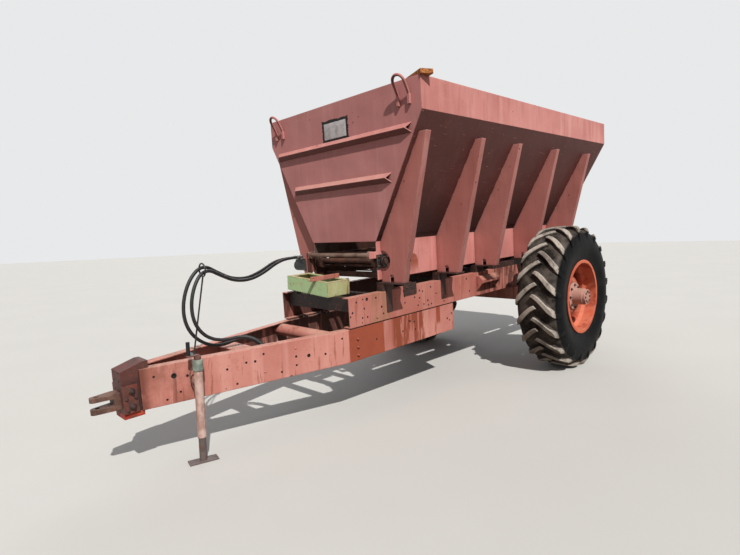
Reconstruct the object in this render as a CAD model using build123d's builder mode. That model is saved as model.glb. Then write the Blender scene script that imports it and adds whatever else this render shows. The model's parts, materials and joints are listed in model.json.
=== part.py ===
"""Pull-type lime spreader, standing on its two wheels and its jack.

All sizes are in millimetres. Pieces are drawn in the machine frame: X forward from the outer
face of the hopper's front wall, Y to the machine's left, Z up from the top faces of the rails.
The machine stands nose down, so each piece is turned about the hubs' axis before it is written,
and the written frame has Z up from the ground and its origin below the middle of the machine.
"""
from build123d import *
from math import atan2, cos, degrees, pi, radians, sin, tan
import os

# Stance: the height of the hubs above the ground is the tyres' radius
NOSE_DOWN = 2.3              # degrees that the front stands below level
TYRE_RADIUS = 785.0
TYRE_WIDTH = 467.0
WHEEL_CENTRE_Y = 1076.0      # middle plane of each tyre
HUB_X = -2358.0              # axle line in the machine frame
HUB_Z = -339.0

# Hopper
HOPPER_LENGTH = 3810.0
HOPPER_WIDTH = 2020.0
HOPPER_TOP = 1711.0
BAND_DEPTH = 254.0           # upright band along the top of each side
RIM = 45.0                   # inward-turned edge along the top
SHEET = 5.0
TROUGH_WIDTH = 860.0         # over the sills' outer faces
TROUGH_TOP = 443.0           # height of the knee where slope meets sill
SILL_BOTTOM = 103.0
SILL_SHEET = 8.0
LAP_START = 60.0             # distance up the slope at which the side sheet begins
LAP = 75.0                   # length of sill flange behind the side sheet
SILL_REACH = 240.0           # sill beyond the rear wall

# Ribs, one row for each: distance of the web's front face behind the front wall
LAST_RIB_REACH = 506.0       # last rib ahead of the rear wall
RIB_SETBACKS = (60.0, 866.0, 1553.0, 2413.0, HOPPER_LENGTH - LAST_RIB_REACH)
RIB_SHEET = 8.0
RIB_FLANGE = 65.0
RIB_TOP_INSET = 14.0         # rib's top corner in from the hopper's outer face
RIB_TOP_Z = 1305.0
RIB_FOOT_REACH = 250.0       # rib's foot out from the sill
RIB_FOOT_Z = 80.0
RIB_NOTCH = 45.0             # width of the round-topped notch in the foot
RIB_NOTCH_REACH = 118.0       # notch out from the sill
BEARING_HOLE = 180.0         # diameter of the hole in the first rib, at the take-up bearing

# Rails and their cross members
RAIL_HALF = 466.0            # outer face of the web
RAIL_DEPTH = 254.0
RAIL_FLANGE = 75.0
RAIL_WEB = 8.0
RAIL_FRONT = 393.0
RAIL_TAIL = 90.0             # rail beyond the rear wall

# Conveyor in the trough
CHAIN_Z = 266.0              # height of both conveyor shafts
CHAIN_RADIUS = 60.0          # to the middle of the chain
CHAIN_THICKNESS = 20.0
CHAIN_WIDTH = 30.0
CHAIN_SIDE_GAP = 20.0           # from a strand to the sill
SLAT_PITCH = 290.0
SLAT_WIDTH = 38.0
FRONT_SHAFT_X = -60.0
REAR_SHAFT_REACH = 140.0     # rear shaft behind the rear wall
SHAFT = 45.0
FLOOR_SHEET = 8.0
FIT = 0.3                    # clearance of pieces that seat on each other

# Drawbar
BEAM_HALF = 456.0            # outer face of the web behind the bend
BEAM_DEPTH = 277.0
BEAM_FLANGE = 75.0
BEAM_WEB = 9.0
BEAM_GAP = 10.0              # packing between rail and beam
BEAM_REAR = -1069.0
BEAM_BEND = 399.0
BEAM_FRONT = 1950.0
BEAM_NOSE_HALF = 92.0

# Hitch
NOSE_HALF = 80.0
NOSE_LENGTH = 115.0
TINE_REACH = 172.0           # from the nose block to the tips
TINE_WIDTH = 100.0
TINE_TIP = 30.0              # radius of the rounded tips
TINE_UPPER_Z = -425.0        # lower face of the upper tine
TINE_LOWER_Z = -470.0        # upper face of the lower tine
TINE_UPPER = 30.0
TINE_LOWER = 35.0
HITCH_PIN = 32.0

# Jack, upright on the ground in the written frame
JACK_X = 1606.0
JACK_OUT = 78.0              # jack tube's axis from the beam's web
JACK_PIVOT_Z = -400.0
JACK_TUBE = 60.0
JACK_BORE = 52.0
JACK_LEG = 50.0
JACK_TOP = 716.0             # above the ground
JACK_TUBE_BOTTOM = 170.0
JACK_FOOT = (195.0, 85.0, 8.0)

# Wheels
RIM_SEAT = 381.0             # radius of the bead seat
RIM_FLANGE = 406.0
RIM_WALL = 9.0
RIM_HALF = 200.0             # half width between the rim's flanges
DISC_OFFSET = -20.0          # disc's outer face at the rim, from the tyre's middle plane
DISH_OFFSET = 100.0          # the same at the hub
DISH_RADIUS = 175.0
SPINDLE = 90.0
RUNNING = 0.05               # radial clearance of turning fits
AXLE_BEAM = 150.0
AXLE_WALL = 10.0
AXLE_HALF = 760.0

# Gate in the rear wall
GATE_WIDTH = 760.0
GATE_BOTTOM = 345.0
GATE_TOP = 760.0
GATE_SHEET = 6.0
MOVING_GAP = 5.0

# Spinners
SPINNER_RADIUS = 300.0
SPINNER_Y = 330.0
SPINNER_BACK = 440.0         # axis behind the rear wall
SPINNER_Z = -190.0           # lower face of the discs
SPINNER_FINS = 6
FIN_HEIGHT = 60.0
SPINNER_SHAFT = 32.0

# Values worked out from those above
HALF = HOPPER_WIDTH / 2
TROUGH_HALF = TROUGH_WIDTH / 2
RIB_TOP_Y = HALF - RIB_TOP_INSET
RIB_FOOT_Y = TROUGH_HALF + RIB_FOOT_REACH
BAND_BOTTOM = HOPPER_TOP - BAND_DEPTH
REAR_X = -HOPPER_LENGTH
SLOPE = atan2(BAND_BOTTOM - TROUGH_TOP, HALF - SHEET - TROUGH_HALF)
RAIL_REAR = REAR_X - RAIL_TAIL
REAR_SHAFT_X = REAR_X - REAR_SHAFT_REACH
SILL_REAR = REAR_X - SILL_REACH
FLOOR_TOP = CHAIN_Z + CHAIN_RADIUS - CHAIN_THICKNESS / 2 - FIT
BEAM_TOP = -RAIL_DEPTH - BEAM_GAP
BEAM_BOTTOM = BEAM_TOP - BEAM_DEPTH
BEAM_TURN = atan2(BEAM_HALF - BEAM_NOSE_HALF, BEAM_FRONT - BEAM_BEND)
NOSE_FRONT = BEAM_FRONT + NOSE_LENGTH
TIP_X = NOSE_FRONT + TINE_REACH
SPINNER_X = REAR_X - SPINNER_BACK
LEAN = radians(NOSE_DOWN)


def standing(x, z):
    """The written frame's X and Z of a point of the machine frame, before the shift along X."""
    along, up = x - HUB_X, z - HUB_Z
    return along * cos(LEAN) + up * sin(LEAN), TYRE_RADIUS + up * cos(LEAN) - along * sin(LEAN)


# Farthest points fore and aft, which the origin lies halfway between
FRONT_REACH = standing(TIP_X, TINE_UPPER_Z + TINE_UPPER)[0]
REAR_REACH = standing(SPINNER_X - SPINNER_RADIUS, SPINNER_Z)[0]
HUB_STANDING_X = -(FRONT_REACH + REAR_REACH) / 2
STANCE = (
    Location((HUB_STANDING_X, 0, TYRE_RADIUS))
    * Location((0, 0, 0), (0, NOSE_DOWN, 0))
    * Location((-HUB_X, 0, -HUB_Z))
)

os.makedirs("parts", exist_ok=True)


def write(piece, label, stance=STANCE):
    """Stand a finished piece on the ground and write it under its node's name."""
    placed = piece.moved(stance)
    placed.label = label
    export_step(placed, f"parts/{label}.step")


def write_pair(piece, label):
    """Write a left-hand piece and its mirror image on the right."""
    write(piece, f"{label}_left")
    write(piece.mirror(Plane.XZ), f"{label}_right")


def across(x):
    """Plane across the machine at x: local X is Y and local Y is Z, extrusion goes forward."""
    return Plane.YZ.offset(x)


def along(y):
    """Plane along the machine at y: local X is X and local Y is Z, extrusion goes left."""
    return Plane(origin=(0, y, 0), x_dir=(-1, 0, 0), z_dir=(0, 1, 0))


def flat(z):
    """Level plane at z: local X and Y as the machine's, extrusion goes up."""
    return Plane.XY.offset(z)


def box(x, y, z, mode=Mode.ADD):
    """Block between pairs of limits, for use inside a BuildPart block."""
    with Locations(((x[0] + x[1]) / 2, (y[0] + y[1]) / 2, (z[0] + z[1]) / 2)):
        Box(abs(x[1] - x[0]), abs(y[1] - y[0]), abs(z[1] - z[0]), mode=mode)


def profile_xz(points):
    """Outline points given as (x, z), for the plane made by along()."""
    return [(-x, z) for x, z in points]


def on_slope(distance, out=0.0):
    """Point (y, z) up the slope from the knee, and out from the sheet's inner face."""
    y = TROUGH_HALF + distance * cos(SLOPE) + out * sin(SLOPE)
    return y, TROUGH_TOP + distance * sin(SLOPE) - out * cos(SLOPE)


def slope_y(z, out=SHEET):
    """Y of the slope at height z, by default on its outer face."""
    return TROUGH_HALF + (z - TROUGH_TOP + out * cos(SLOPE)) / tan(SLOPE) + out * sin(SLOPE)


BAND_OUTER = TROUGH_TOP + (HALF - SHEET / sin(SLOPE) - TROUGH_HALF) * tan(SLOPE)

# Hopper sides: upright band, slope and turned-in rim in one sheet
with BuildPart() as hopper_side:
    with BuildSketch(across(REAR_X + SHEET)):
        Polygon(
            on_slope(LAP_START),
            (HALF - SHEET, BAND_BOTTOM),
            (HALF - SHEET, HOPPER_TOP - SHEET),
            (HALF - RIM, HOPPER_TOP - SHEET),
            (HALF - RIM, HOPPER_TOP),
            (HALF, HOPPER_TOP),
            (HALF, BAND_OUTER),
            on_slope(LAP_START, SHEET),
            align=None,
        )
    extrude(amount=HOPPER_LENGTH - 2 * SHEET)
write_pair(hopper_side.part, "hopper_side")

# Sills: upright walls of the trough, with a flange behind the side sheet and ears in front
EAR_REACH = 85.0
EAR_Z = (296.0, 356.0)
FRONT_TUBE = 42.0
FRONT_TUBE_X = 50.0
FRONT_TUBE_Z = 326.0
TAKE_UP_SLOT = 170.0
ANCHOR_PIN = 34.0                # pin through each sill in the first bay
ANCHOR_X = -395.0
ANCHOR_Z = 262.0
ANCHOR_REACH = 45.0
ANCHOR_SLOT = (70.0, 18.0)       # below the pin
ANCHOR_SLOT_DROP = 62.0
with BuildPart() as sill:
    box((SILL_REAR, -SHEET), (TROUGH_HALF - SILL_SHEET, TROUGH_HALF), (SILL_BOTTOM, TROUGH_TOP))
    box((-SHEET, EAR_REACH), (TROUGH_HALF - SILL_SHEET, TROUGH_HALF), EAR_Z)
    with BuildSketch(across(REAR_X + SHEET)):
        Polygon(
            (TROUGH_HALF, TROUGH_TOP),
            (TROUGH_HALF - SILL_SHEET, TROUGH_TOP),
            on_slope(SILL_SHEET, -SILL_SHEET),
            on_slope(LAP_START + LAP, -SILL_SHEET),
            on_slope(LAP_START + LAP),
            align=None,
        )
    extrude(amount=HOPPER_LENGTH - 2 * SHEET)
    with BuildSketch(along(TROUGH_HALF - SILL_SHEET)):
        with Locations((-FRONT_SHAFT_X + TAKE_UP_SLOT / 4, CHAIN_Z)):
            SlotOverall(TAKE_UP_SLOT, SHAFT + 2 * MOVING_GAP)
        with Locations((-REAR_SHAFT_X, CHAIN_Z)):
            Circle(SHAFT / 2 + MOVING_GAP)
        with Locations((-ANCHOR_X, ANCHOR_Z - ANCHOR_SLOT_DROP)):
            SlotOverall(*ANCHOR_SLOT, rotation=90)
    extrude(amount=SILL_SHEET, mode=Mode.SUBTRACT)
    with BuildSketch(along(TROUGH_HALF)):
        with Locations((-ANCHOR_X, ANCHOR_Z)):
            Circle(ANCHOR_PIN / 2)
    extrude(amount=ANCHOR_REACH)
write_pair(sill.part, "sill")


def end_outline():
    """Half outline of the front and rear walls, from the top centre down to the trough."""
    return [
        (0, HOPPER_TOP),
        (HALF, HOPPER_TOP),
        (HALF, BAND_OUTER),
        (slope_y(TROUGH_TOP), TROUGH_TOP),
        (0, TROUGH_TOP),
    ]


def wall_outline():
    """Whole outline of the front and rear walls."""
    half = end_outline()
    return half[:-1] + [(-y, z) for y, z in reversed(half[1:-1])]


# Front wall with its turned-in top edge
with BuildPart() as hopper_front:
    with BuildSketch(across(-SHEET)):
        Polygon(*wall_outline(), align=None)
    extrude(amount=SHEET)
    box((-RIM, -SHEET), (RIM - HALF, HALF - RIM), (HOPPER_TOP - SHEET, HOPPER_TOP))
write(hopper_front.part, "hopper_front")

# Rear wall with the opening that the gate covers
GATE_OPENING = (680.0, 300.0)    # width and height above the knee
with BuildPart() as hopper_rear:
    with BuildSketch(across(REAR_X)):
        Polygon(*wall_outline(), align=None)
        with Locations((0, TROUGH_TOP)):
            Rectangle(
                GATE_OPENING[0], GATE_OPENING[1], align=(Align.CENTER, Align.MIN), mode=Mode.SUBTRACT
            )
    extrude(amount=SHEET)
    box(
        (REAR_X + SHEET, REAR_X + RIM),
        (RIM - HALF, HALF - RIM),
        (HOPPER_TOP - SHEET, HOPPER_TOP),
    )
write(hopper_rear.part, "hopper_rear")

# Stiffeners: angle irons with both toes on the wall and mitred ends
STIFFENER_LEG = 60.0
STIFFENER_SHEET = 6.0
STIFFENER_REACH = STIFFENER_LEG / 2 ** 0.5
UPPER_STIFFENER = (1335.0, 900.0)    # height and half length
LOWER_STIFFENER = (970.0, 660.0)


def add_stiffener(height, half_length, forward):
    """Angle iron across a wall, standing out forward (1) or rearward (-1) of it."""
    wall = 0.0 if forward > 0 else REAR_X
    inner = STIFFENER_REACH - STIFFENER_SHEET * 2 ** 0.5
    section = [
        (wall, height + STIFFENER_REACH),
        (wall + forward * STIFFENER_REACH, height),
        (wall, height - STIFFENER_REACH),
        (wall, height - inner),
        (wall + forward * inner, height),
        (wall, height + inner),
    ]
    with BuildSketch(along(-half_length)) as outline:
        Polygon(*profile_xz(section), align=None)
    extrude(outline.sketch, amount=2 * half_length)
    for side in (1, -1):
        with BuildSketch(flat(height - STIFFENER_REACH)) as outline:
            Polygon(
                (wall, side * half_length),
                (wall + forward * STIFFENER_REACH, side * (half_length - STIFFENER_REACH)),
                (wall + forward * STIFFENER_REACH, side * half_length),
                align=None,
            )
        extrude(outline.sketch, amount=2 * STIFFENER_REACH, mode=Mode.SUBTRACT)


with BuildPart() as wall_stiffeners:
    add_stiffener(*UPPER_STIFFENER, 1)
    add_stiffener(*LOWER_STIFFENER, 1)
    add_stiffener(*UPPER_STIFFENER, -1)
write(wall_stiffeners.part, "wall_stiffeners")

# Ribs: plates across the machine with a flange along the outer edge
RIB_LEAN = atan2(RIB_TOP_Y - RIB_FOOT_Y, RIB_TOP_Z - RIB_FOOT_Z)
RIB_EDGE = RIB_SHEET / cos(RIB_LEAN)


def add_rib(web_x, with_hole):
    """One rib whose web has its front face at web_x."""
    with BuildSketch(across(web_x - RIB_SHEET)) as outline:
        Polygon(
            (TROUGH_HALF, RIB_FOOT_Z),
            (TROUGH_HALF, TROUGH_TOP - 2 * SHEET),
            (slope_y(TROUGH_TOP), TROUGH_TOP),
            (slope_y(RIB_TOP_Z), RIB_TOP_Z),
            (RIB_TOP_Y, RIB_TOP_Z),
            (RIB_FOOT_Y, RIB_FOOT_Z),
            align=None,
        )
        with Locations((TROUGH_HALF + RIB_NOTCH_REACH, RIB_FOOT_Z)):
            SlotOverall(3 * RIB_NOTCH, RIB_NOTCH, rotation=90, mode=Mode.SUBTRACT)
        if with_hole:
            with Locations((TROUGH_HALF + 2 * SILL_SHEET, CHAIN_Z)):
                Circle(BEARING_HOLE / 2, mode=Mode.SUBTRACT)
    extrude(outline.sketch, amount=RIB_SHEET)
    with BuildSketch(across(web_x - RIB_FLANGE)) as outline:
        Polygon(
            (RIB_TOP_Y - RIB_EDGE, RIB_TOP_Z),
            (RIB_TOP_Y, RIB_TOP_Z),
            (RIB_FOOT_Y, RIB_FOOT_Z),
            (RIB_FOOT_Y - RIB_EDGE, RIB_FOOT_Z),
            align=None,
        )
    extrude(outline.sketch, amount=RIB_FLANGE)


with BuildPart() as ribs:
    for number, setback in enumerate(RIB_SETBACKS):
        add_rib(-setback, number == 0)
write_pair(ribs.part, "ribs")

# Seats: a base plate and a packing block under each rib, with a strap down the rail's side
SEAT_PLATE = 12.0
SEAT_LENGTH = 140.0
SEAT_AHEAD = 35.0
STRAP = (70.0, 8.0, 190.0)       # width, thickness and length below the rail's top
STRAPPED_RIBS = 2
CLIP_X = (-472.0, -294.0)            # plate bolted to the rail's side in the first bay
CLIP_Z = (-77.0, 32.0)
CLIP_SHEET = 10.0
TIMBER_X = (-2353.0, -1880.0)        # packing on the rail ahead of the axle
TIMBER_DEPTH = 60.0
with BuildPart() as seats:
    for number, setback in enumerate(RIB_SETBACKS):
        front = -setback + SEAT_AHEAD
        ends = (front - SEAT_LENGTH, front)
        plate_bottom = RIB_FOOT_Z - SEAT_PLATE
        box(ends, (RAIL_HALF - RAIL_FLANGE, RIB_FOOT_Y), (plate_bottom, RIB_FOOT_Z))
        box(ends, (RAIL_HALF - RAIL_FLANGE, RAIL_HALF), (0, plate_bottom))
        if number < STRAPPED_RIBS:
            middle = front - SEAT_LENGTH / 2
            strap_ends = (middle - STRAP[0] / 2, middle + STRAP[0] / 2)
            box(strap_ends, (RAIL_HALF, RAIL_HALF + STRAP[1]), (-STRAP[2], plate_bottom))
    box(CLIP_X, (RAIL_HALF, RAIL_HALF + CLIP_SHEET), CLIP_Z)
    box(TIMBER_X, (RAIL_HALF - RAIL_FLANGE, RAIL_HALF), (0, TIMBER_DEPTH))
write_pair(seats.part, "rib_seats")

# Rails: channels with their flanges turned inward, each with a hooded bracket on its side
BRACKET_X = (-1865.0, -1503.0)
BRACKET_Z = (-209.0, -38.0)
BRACKET_REACH = 85.0
BRACKET_SHEET = 8.0
BRACKET_LIP = 30.0
with BuildPart() as rail:
    box((RAIL_REAR, RAIL_FRONT), (RAIL_HALF - RAIL_WEB, RAIL_HALF), (-RAIL_DEPTH, 0))
    for level in (-RAIL_WEB, -RAIL_DEPTH):
        box(
            (RAIL_REAR, RAIL_FRONT),
            (RAIL_HALF - RAIL_FLANGE, RAIL_HALF - RAIL_WEB),
            (level, level + RAIL_WEB),
        )
    with BuildSketch(across(BRACKET_X[0])):
        Polygon(
            (RAIL_HALF, BRACKET_Z[1]),
            (RAIL_HALF + BRACKET_REACH / 2, BRACKET_Z[1]),
            (RAIL_HALF + BRACKET_REACH, BRACKET_Z[1] - BRACKET_REACH / 2),
            (RAIL_HALF + BRACKET_REACH, BRACKET_Z[1] - BRACKET_REACH / 2 - BRACKET_LIP),
            (RAIL_HALF, BRACKET_Z[0]),
            align=None,
        )
    extrude(amount=BRACKET_X[1] - BRACKET_X[0])
    with BuildSketch(across(BRACKET_X[0] + BRACKET_SHEET)):
        Polygon(
            (RAIL_HALF, BRACKET_Z[1] - BRACKET_SHEET),
            (RAIL_HALF + BRACKET_REACH / 2 - BRACKET_SHEET / 2, BRACKET_Z[1] - BRACKET_SHEET),
            (RAIL_HALF + BRACKET_REACH - BRACKET_SHEET, BRACKET_Z[1] - BRACKET_REACH / 2 - BRACKET_SHEET / 2),
            (RAIL_HALF + BRACKET_REACH - BRACKET_SHEET, BRACKET_Z[0] - BRACKET_SHEET),
            (RAIL_HALF, BRACKET_Z[0] - BRACKET_SHEET),
            align=None,
        )
    extrude(amount=BRACKET_X[1] - BRACKET_X[0] - 2 * BRACKET_SHEET, mode=Mode.SUBTRACT)
write_pair(rail.part, "rail")

# Cross members between the rails' webs
CROSS_DEPTH = 120.0
CROSS_WIDTH = 60.0
LAST_CROSS_REACH = 30.0          # last cross member ahead of the rear wall
CROSS_SETBACKS = (-330.0, -60.0, 1100.0, 2000.0, 2750.0, HOPPER_LENGTH - LAST_CROSS_REACH)
CROSS_TOP = -RAIL_WEB - 4.0
CROSS_MIDDLE = -CROSS_SETBACKS[0] - CROSS_WIDTH / 2     # the front one's
with BuildPart() as rail_cross_members:
    for setback in CROSS_SETBACKS:
        front = -setback
        box(
            (front - CROSS_WIDTH, front),
            (RAIL_WEB - RAIL_HALF, RAIL_HALF - RAIL_WEB),
            (CROSS_TOP - CROSS_DEPTH, CROSS_TOP),
        )
        box(
            (front - CROSS_WIDTH, front - RAIL_WEB),
            (RAIL_WEB - RAIL_HALF, RAIL_HALF - RAIL_WEB),
            (CROSS_TOP - CROSS_DEPTH + RAIL_WEB, CROSS_TOP - RAIL_WEB),
            mode=Mode.SUBTRACT,
        )
write(rail_cross_members.part, "rail_cross_members")

# Trough floor and the bars that tie the sills below the chain
TIE_DEPTH = 50.0
TIE_WIDTH = 50.0
TROUGH_INSIDE = TROUGH_HALF - SILL_SHEET
FLOOR_FRONT = FRONT_SHAFT_X - CHAIN_RADIUS
with BuildPart() as trough_floor:
    box(
        (REAR_SHAFT_X + CHAIN_RADIUS, FLOOR_FRONT),
        (-TROUGH_INSIDE, TROUGH_INSIDE),
        (FLOOR_TOP - FLOOR_SHEET, FLOOR_TOP),
    )
    for setback in RIB_SETBACKS:
        front = -setback - RIB_FLANGE
        box(
            (front - TIE_WIDTH, front),
            (-TROUGH_INSIDE, TROUGH_INSIDE),
            (SILL_BOTTOM, SILL_BOTTOM + TIE_DEPTH),
        )
write(trough_floor.part, "trough_floor")

# Conveyor chain: a strand along each side of the trough, joined by slats
CHAIN_INNER = CHAIN_RADIUS - CHAIN_THICKNESS / 2
CHAIN_OUTER = CHAIN_RADIUS + CHAIN_THICKNESS / 2
CHAIN_RUN = FRONT_SHAFT_X - REAR_SHAFT_X
CHAIN_MIDDLE = (FRONT_SHAFT_X + REAR_SHAFT_X) / 2
CHAIN_STRAND_Y = TROUGH_INSIDE - CHAIN_SIDE_GAP - CHAIN_WIDTH / 2
SLATS = int(CHAIN_RUN / SLAT_PITCH)
with BuildPart() as conveyor_chain:
    for strand in (-CHAIN_STRAND_Y, CHAIN_STRAND_Y):
        with BuildSketch(along(strand - CHAIN_WIDTH / 2)):
            with Locations((-CHAIN_MIDDLE, CHAIN_Z)):
                SlotCenterToCenter(CHAIN_RUN, 2 * CHAIN_OUTER)
                SlotCenterToCenter(CHAIN_RUN, 2 * CHAIN_INNER, mode=Mode.SUBTRACT)
        extrude(amount=CHAIN_WIDTH)
    for number in range(SLATS):
        middle = FRONT_SHAFT_X - (number + 0.5) * CHAIN_RUN / SLATS
        for run in (1, -1):
            level = CHAIN_Z + run * CHAIN_RADIUS
            box(
                (middle - SLAT_WIDTH / 2, middle + SLAT_WIDTH / 2),
                (-CHAIN_STRAND_Y, CHAIN_STRAND_Y),
                (level - CHAIN_THICKNESS / 2, level + CHAIN_THICKNESS / 2),
            )
write(conveyor_chain.part, "conveyor_chain")

# Conveyor shafts with a sprocket drum under each strand
BEARING_REACH = 48.0         # flange bearing out from the sill
SHAFT_HALF = TROUGH_HALF + BEARING_REACH + 14.0


def conveyor_shaft(x):
    """Shaft across the trough at x, with its two drums."""
    with BuildPart() as shaft:
        with BuildSketch(along(-SHAFT_HALF)):
            with Locations((-x, CHAIN_Z)):
                Circle(SHAFT / 2)
        extrude(amount=2 * SHAFT_HALF)
        for strand in (-CHAIN_STRAND_Y, CHAIN_STRAND_Y):
            with BuildSketch(along(strand - CHAIN_WIDTH / 2 - MOVING_GAP)):
                with Locations((-x, CHAIN_Z)):
                    Circle(CHAIN_INNER - FIT)
            extrude(amount=CHAIN_WIDTH + 2 * MOVING_GAP)
    return shaft.part


write(conveyor_shaft(FRONT_SHAFT_X), "front_conveyor_shaft")
write(conveyor_shaft(REAR_SHAFT_X), "rear_conveyor_shaft")

# Flange bearings of both shafts on the sills' outer faces
BEARING_PLATE = 120.0
BEARING_PLATE_THICK = 14.0
BEARING_BOSS = 84.0
with BuildPart() as shaft_bearings:
    for side in (1, -1):
        for x in (FRONT_SHAFT_X, REAR_SHAFT_X):
            inner_face = TROUGH_HALF if side > 0 else -TROUGH_HALF - BEARING_PLATE_THICK
            with BuildSketch(along(inner_face)):
                with Locations((-x, CHAIN_Z)):
                    Rectangle(BEARING_PLATE, BEARING_PLATE)
                    Circle(SHAFT / 2 + FIT, mode=Mode.SUBTRACT)
            extrude(amount=BEARING_PLATE_THICK)
            boss_face = TROUGH_HALF if side > 0 else -TROUGH_HALF - BEARING_REACH
            with BuildSketch(along(boss_face)):
                with Locations((-x, CHAIN_Z)):
                    Circle(BEARING_BOSS / 2)
                    Circle(SHAFT / 2 + FIT, mode=Mode.SUBTRACT)
            extrude(amount=BEARING_REACH)
write(shaft_bearings.part, "shaft_bearings")

# Tube across the trough's mouth, between collars on the sills' ears
COLLAR = 74.0
COLLAR_LENGTH = 30.0
with BuildPart() as front_tube:
    with BuildSketch(along(-TROUGH_INSIDE)):
        with Locations((-FRONT_TUBE_X, FRONT_TUBE_Z)):
            Circle(FRONT_TUBE / 2)
    extrude(amount=2 * TROUGH_INSIDE)
    for start in (-TROUGH_INSIDE, TROUGH_INSIDE - COLLAR_LENGTH):
        with BuildSketch(along(start)):
            with Locations((-FRONT_TUBE_X, FRONT_TUBE_Z)):
                Circle(COLLAR / 2)
        extrude(amount=COLLAR_LENGTH)
write(front_tube.part, "front_tube")

# Hydraulic motor of the conveyor, on a plate bolted to the right-hand ear
MOTOR_X = 42.0
MOTOR_Z = 222.0
MOTOR_RADIUS = 52.0
MOTOR_INNER = 452.0
MOTOR_LENGTH = 215.0
MOTOR_PLATE = 14.0
MOTOR_FLANGE = (112.0, 12.0, 30.0)    # side, corner radius and thickness
MOTOR_PORT_BLOCK = (30.0, 22.0)       # half length, and width beyond the ports
MOTOR_PORT_Y = (590.0, 632.0)
PORT_TOP = MOTOR_Z + MOTOR_RADIUS + 10
with BuildPart() as motor_plate:
    box(
        (FRONT_SHAFT_X + BEARING_PLATE / 2 + FIT, EAR_REACH + MOTOR_PLATE),
        (-TROUGH_HALF - MOTOR_PLATE, -TROUGH_HALF),
        (MOTOR_Z - MOTOR_RADIUS - 8, EAR_Z[1]),
    )
write(motor_plate.part, "motor_plate")

MOTOR_FACE = TROUGH_HALF + MOTOR_PLATE
with BuildPart() as conveyor_motor:
    with BuildSketch(along(-MOTOR_FACE - MOTOR_LENGTH)):
        with Locations((-MOTOR_X, MOTOR_Z)):
            Circle(MOTOR_RADIUS)
    extrude(amount=MOTOR_LENGTH)
    with BuildSketch(along(-MOTOR_FACE - MOTOR_FLANGE[2])):
        with Locations((-MOTOR_X, MOTOR_Z)):
            RectangleRounded(MOTOR_FLANGE[0], MOTOR_FLANGE[0], MOTOR_FLANGE[1])
    extrude(amount=MOTOR_FLANGE[2])
    box(
        (MOTOR_X - MOTOR_PORT_BLOCK[0], MOTOR_X + MOTOR_PORT_BLOCK[0]),
        (-MOTOR_PORT_Y[1] - MOTOR_PORT_BLOCK[1], -MOTOR_PORT_Y[0] + MOTOR_PORT_BLOCK[1]),
        (MOTOR_Z, PORT_TOP),
    )
write(conveyor_motor.part, "conveyor_motor")

# Elbow fittings on the motor's ports, pointing forward
FITTING = 34.0
FITTING_HEIGHT = 40.0
FITTING_FRONT = MOTOR_X + 62.0
FITTING_Z = PORT_TOP + FITTING_HEIGHT - FITTING / 2
with BuildPart() as hose_fittings:
    for y in MOTOR_PORT_Y:
        with BuildSketch(flat(PORT_TOP)):
            with Locations((MOTOR_X, -y)):
                Circle(FITTING / 2)
        extrude(amount=FITTING_HEIGHT)
        with BuildSketch(across(MOTOR_X)):
            with Locations((-y, FITTING_Z)):
                Circle(FITTING / 2)
        extrude(amount=FITTING_FRONT - MOTOR_X)
write(hose_fittings.part, "hose_fittings")

# Open box frame that lies on the front cross members, tipped up by a block at its right-hand end
FRAME_X = (130.0, 390.0)
FRAME_Y = (-380.0, 196.0)
FRAME_DEPTH = 130.0
FRAME_SHEET = 8.0
FRAME_FLANGE = 40.0
FRAME_TIP = radians(4.5)
FRAME_REST = 60.0                # width of the block that the raised end rests on


def tipped(shape):
    """Shape turned about the box frame's lower left edge, as the frame lies."""
    edge = Axis((0, FRAME_Y[1], CROSS_TOP), (1, 0, 0))
    return shape.rotate(edge, -degrees(FRAME_TIP))


def tipped_level(y):
    """Height of the tipped frame's underside at y."""
    return CROSS_TOP + (FRAME_Y[1] - y) * tan(FRAME_TIP)


with BuildPart() as front_box_frame:
    box(FRAME_X, FRAME_Y, (CROSS_TOP, CROSS_TOP + FRAME_DEPTH))
    box(
        (FRAME_X[0] + FRAME_SHEET, FRAME_X[1] - FRAME_SHEET),
        (FRAME_Y[0] + FRAME_SHEET, FRAME_Y[1] - FRAME_SHEET),
        (CROSS_TOP + FRAME_SHEET, CROSS_TOP + FRAME_DEPTH - FRAME_SHEET),
        mode=Mode.SUBTRACT,
    )
    box(
        (FRAME_X[0] + FRAME_FLANGE, FRAME_X[1] - FRAME_FLANGE),
        (FRAME_Y[0] + FRAME_FLANGE, FRAME_Y[1] - FRAME_FLANGE),
        (CROSS_TOP, CROSS_TOP + FRAME_DEPTH),
        mode=Mode.SUBTRACT,
    )
write(tipped(front_box_frame.part), "front_box_frame")

with BuildPart() as frame_block:
    block_y = (FRAME_Y[0] * cos(FRAME_TIP), FRAME_Y[0] * cos(FRAME_TIP) + FRAME_REST)
    with BuildSketch(across(CROSS_MIDDLE - CROSS_WIDTH / 2)):
        Polygon(
            (block_y[0], CROSS_TOP),
            (block_y[1], CROSS_TOP),
            (block_y[1], tipped_level(block_y[1])),
            (block_y[0], tipped_level(block_y[0])),
            align=None,
        )
    extrude(amount=CROSS_WIDTH)
write(frame_block.part, "frame_block")

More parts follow.
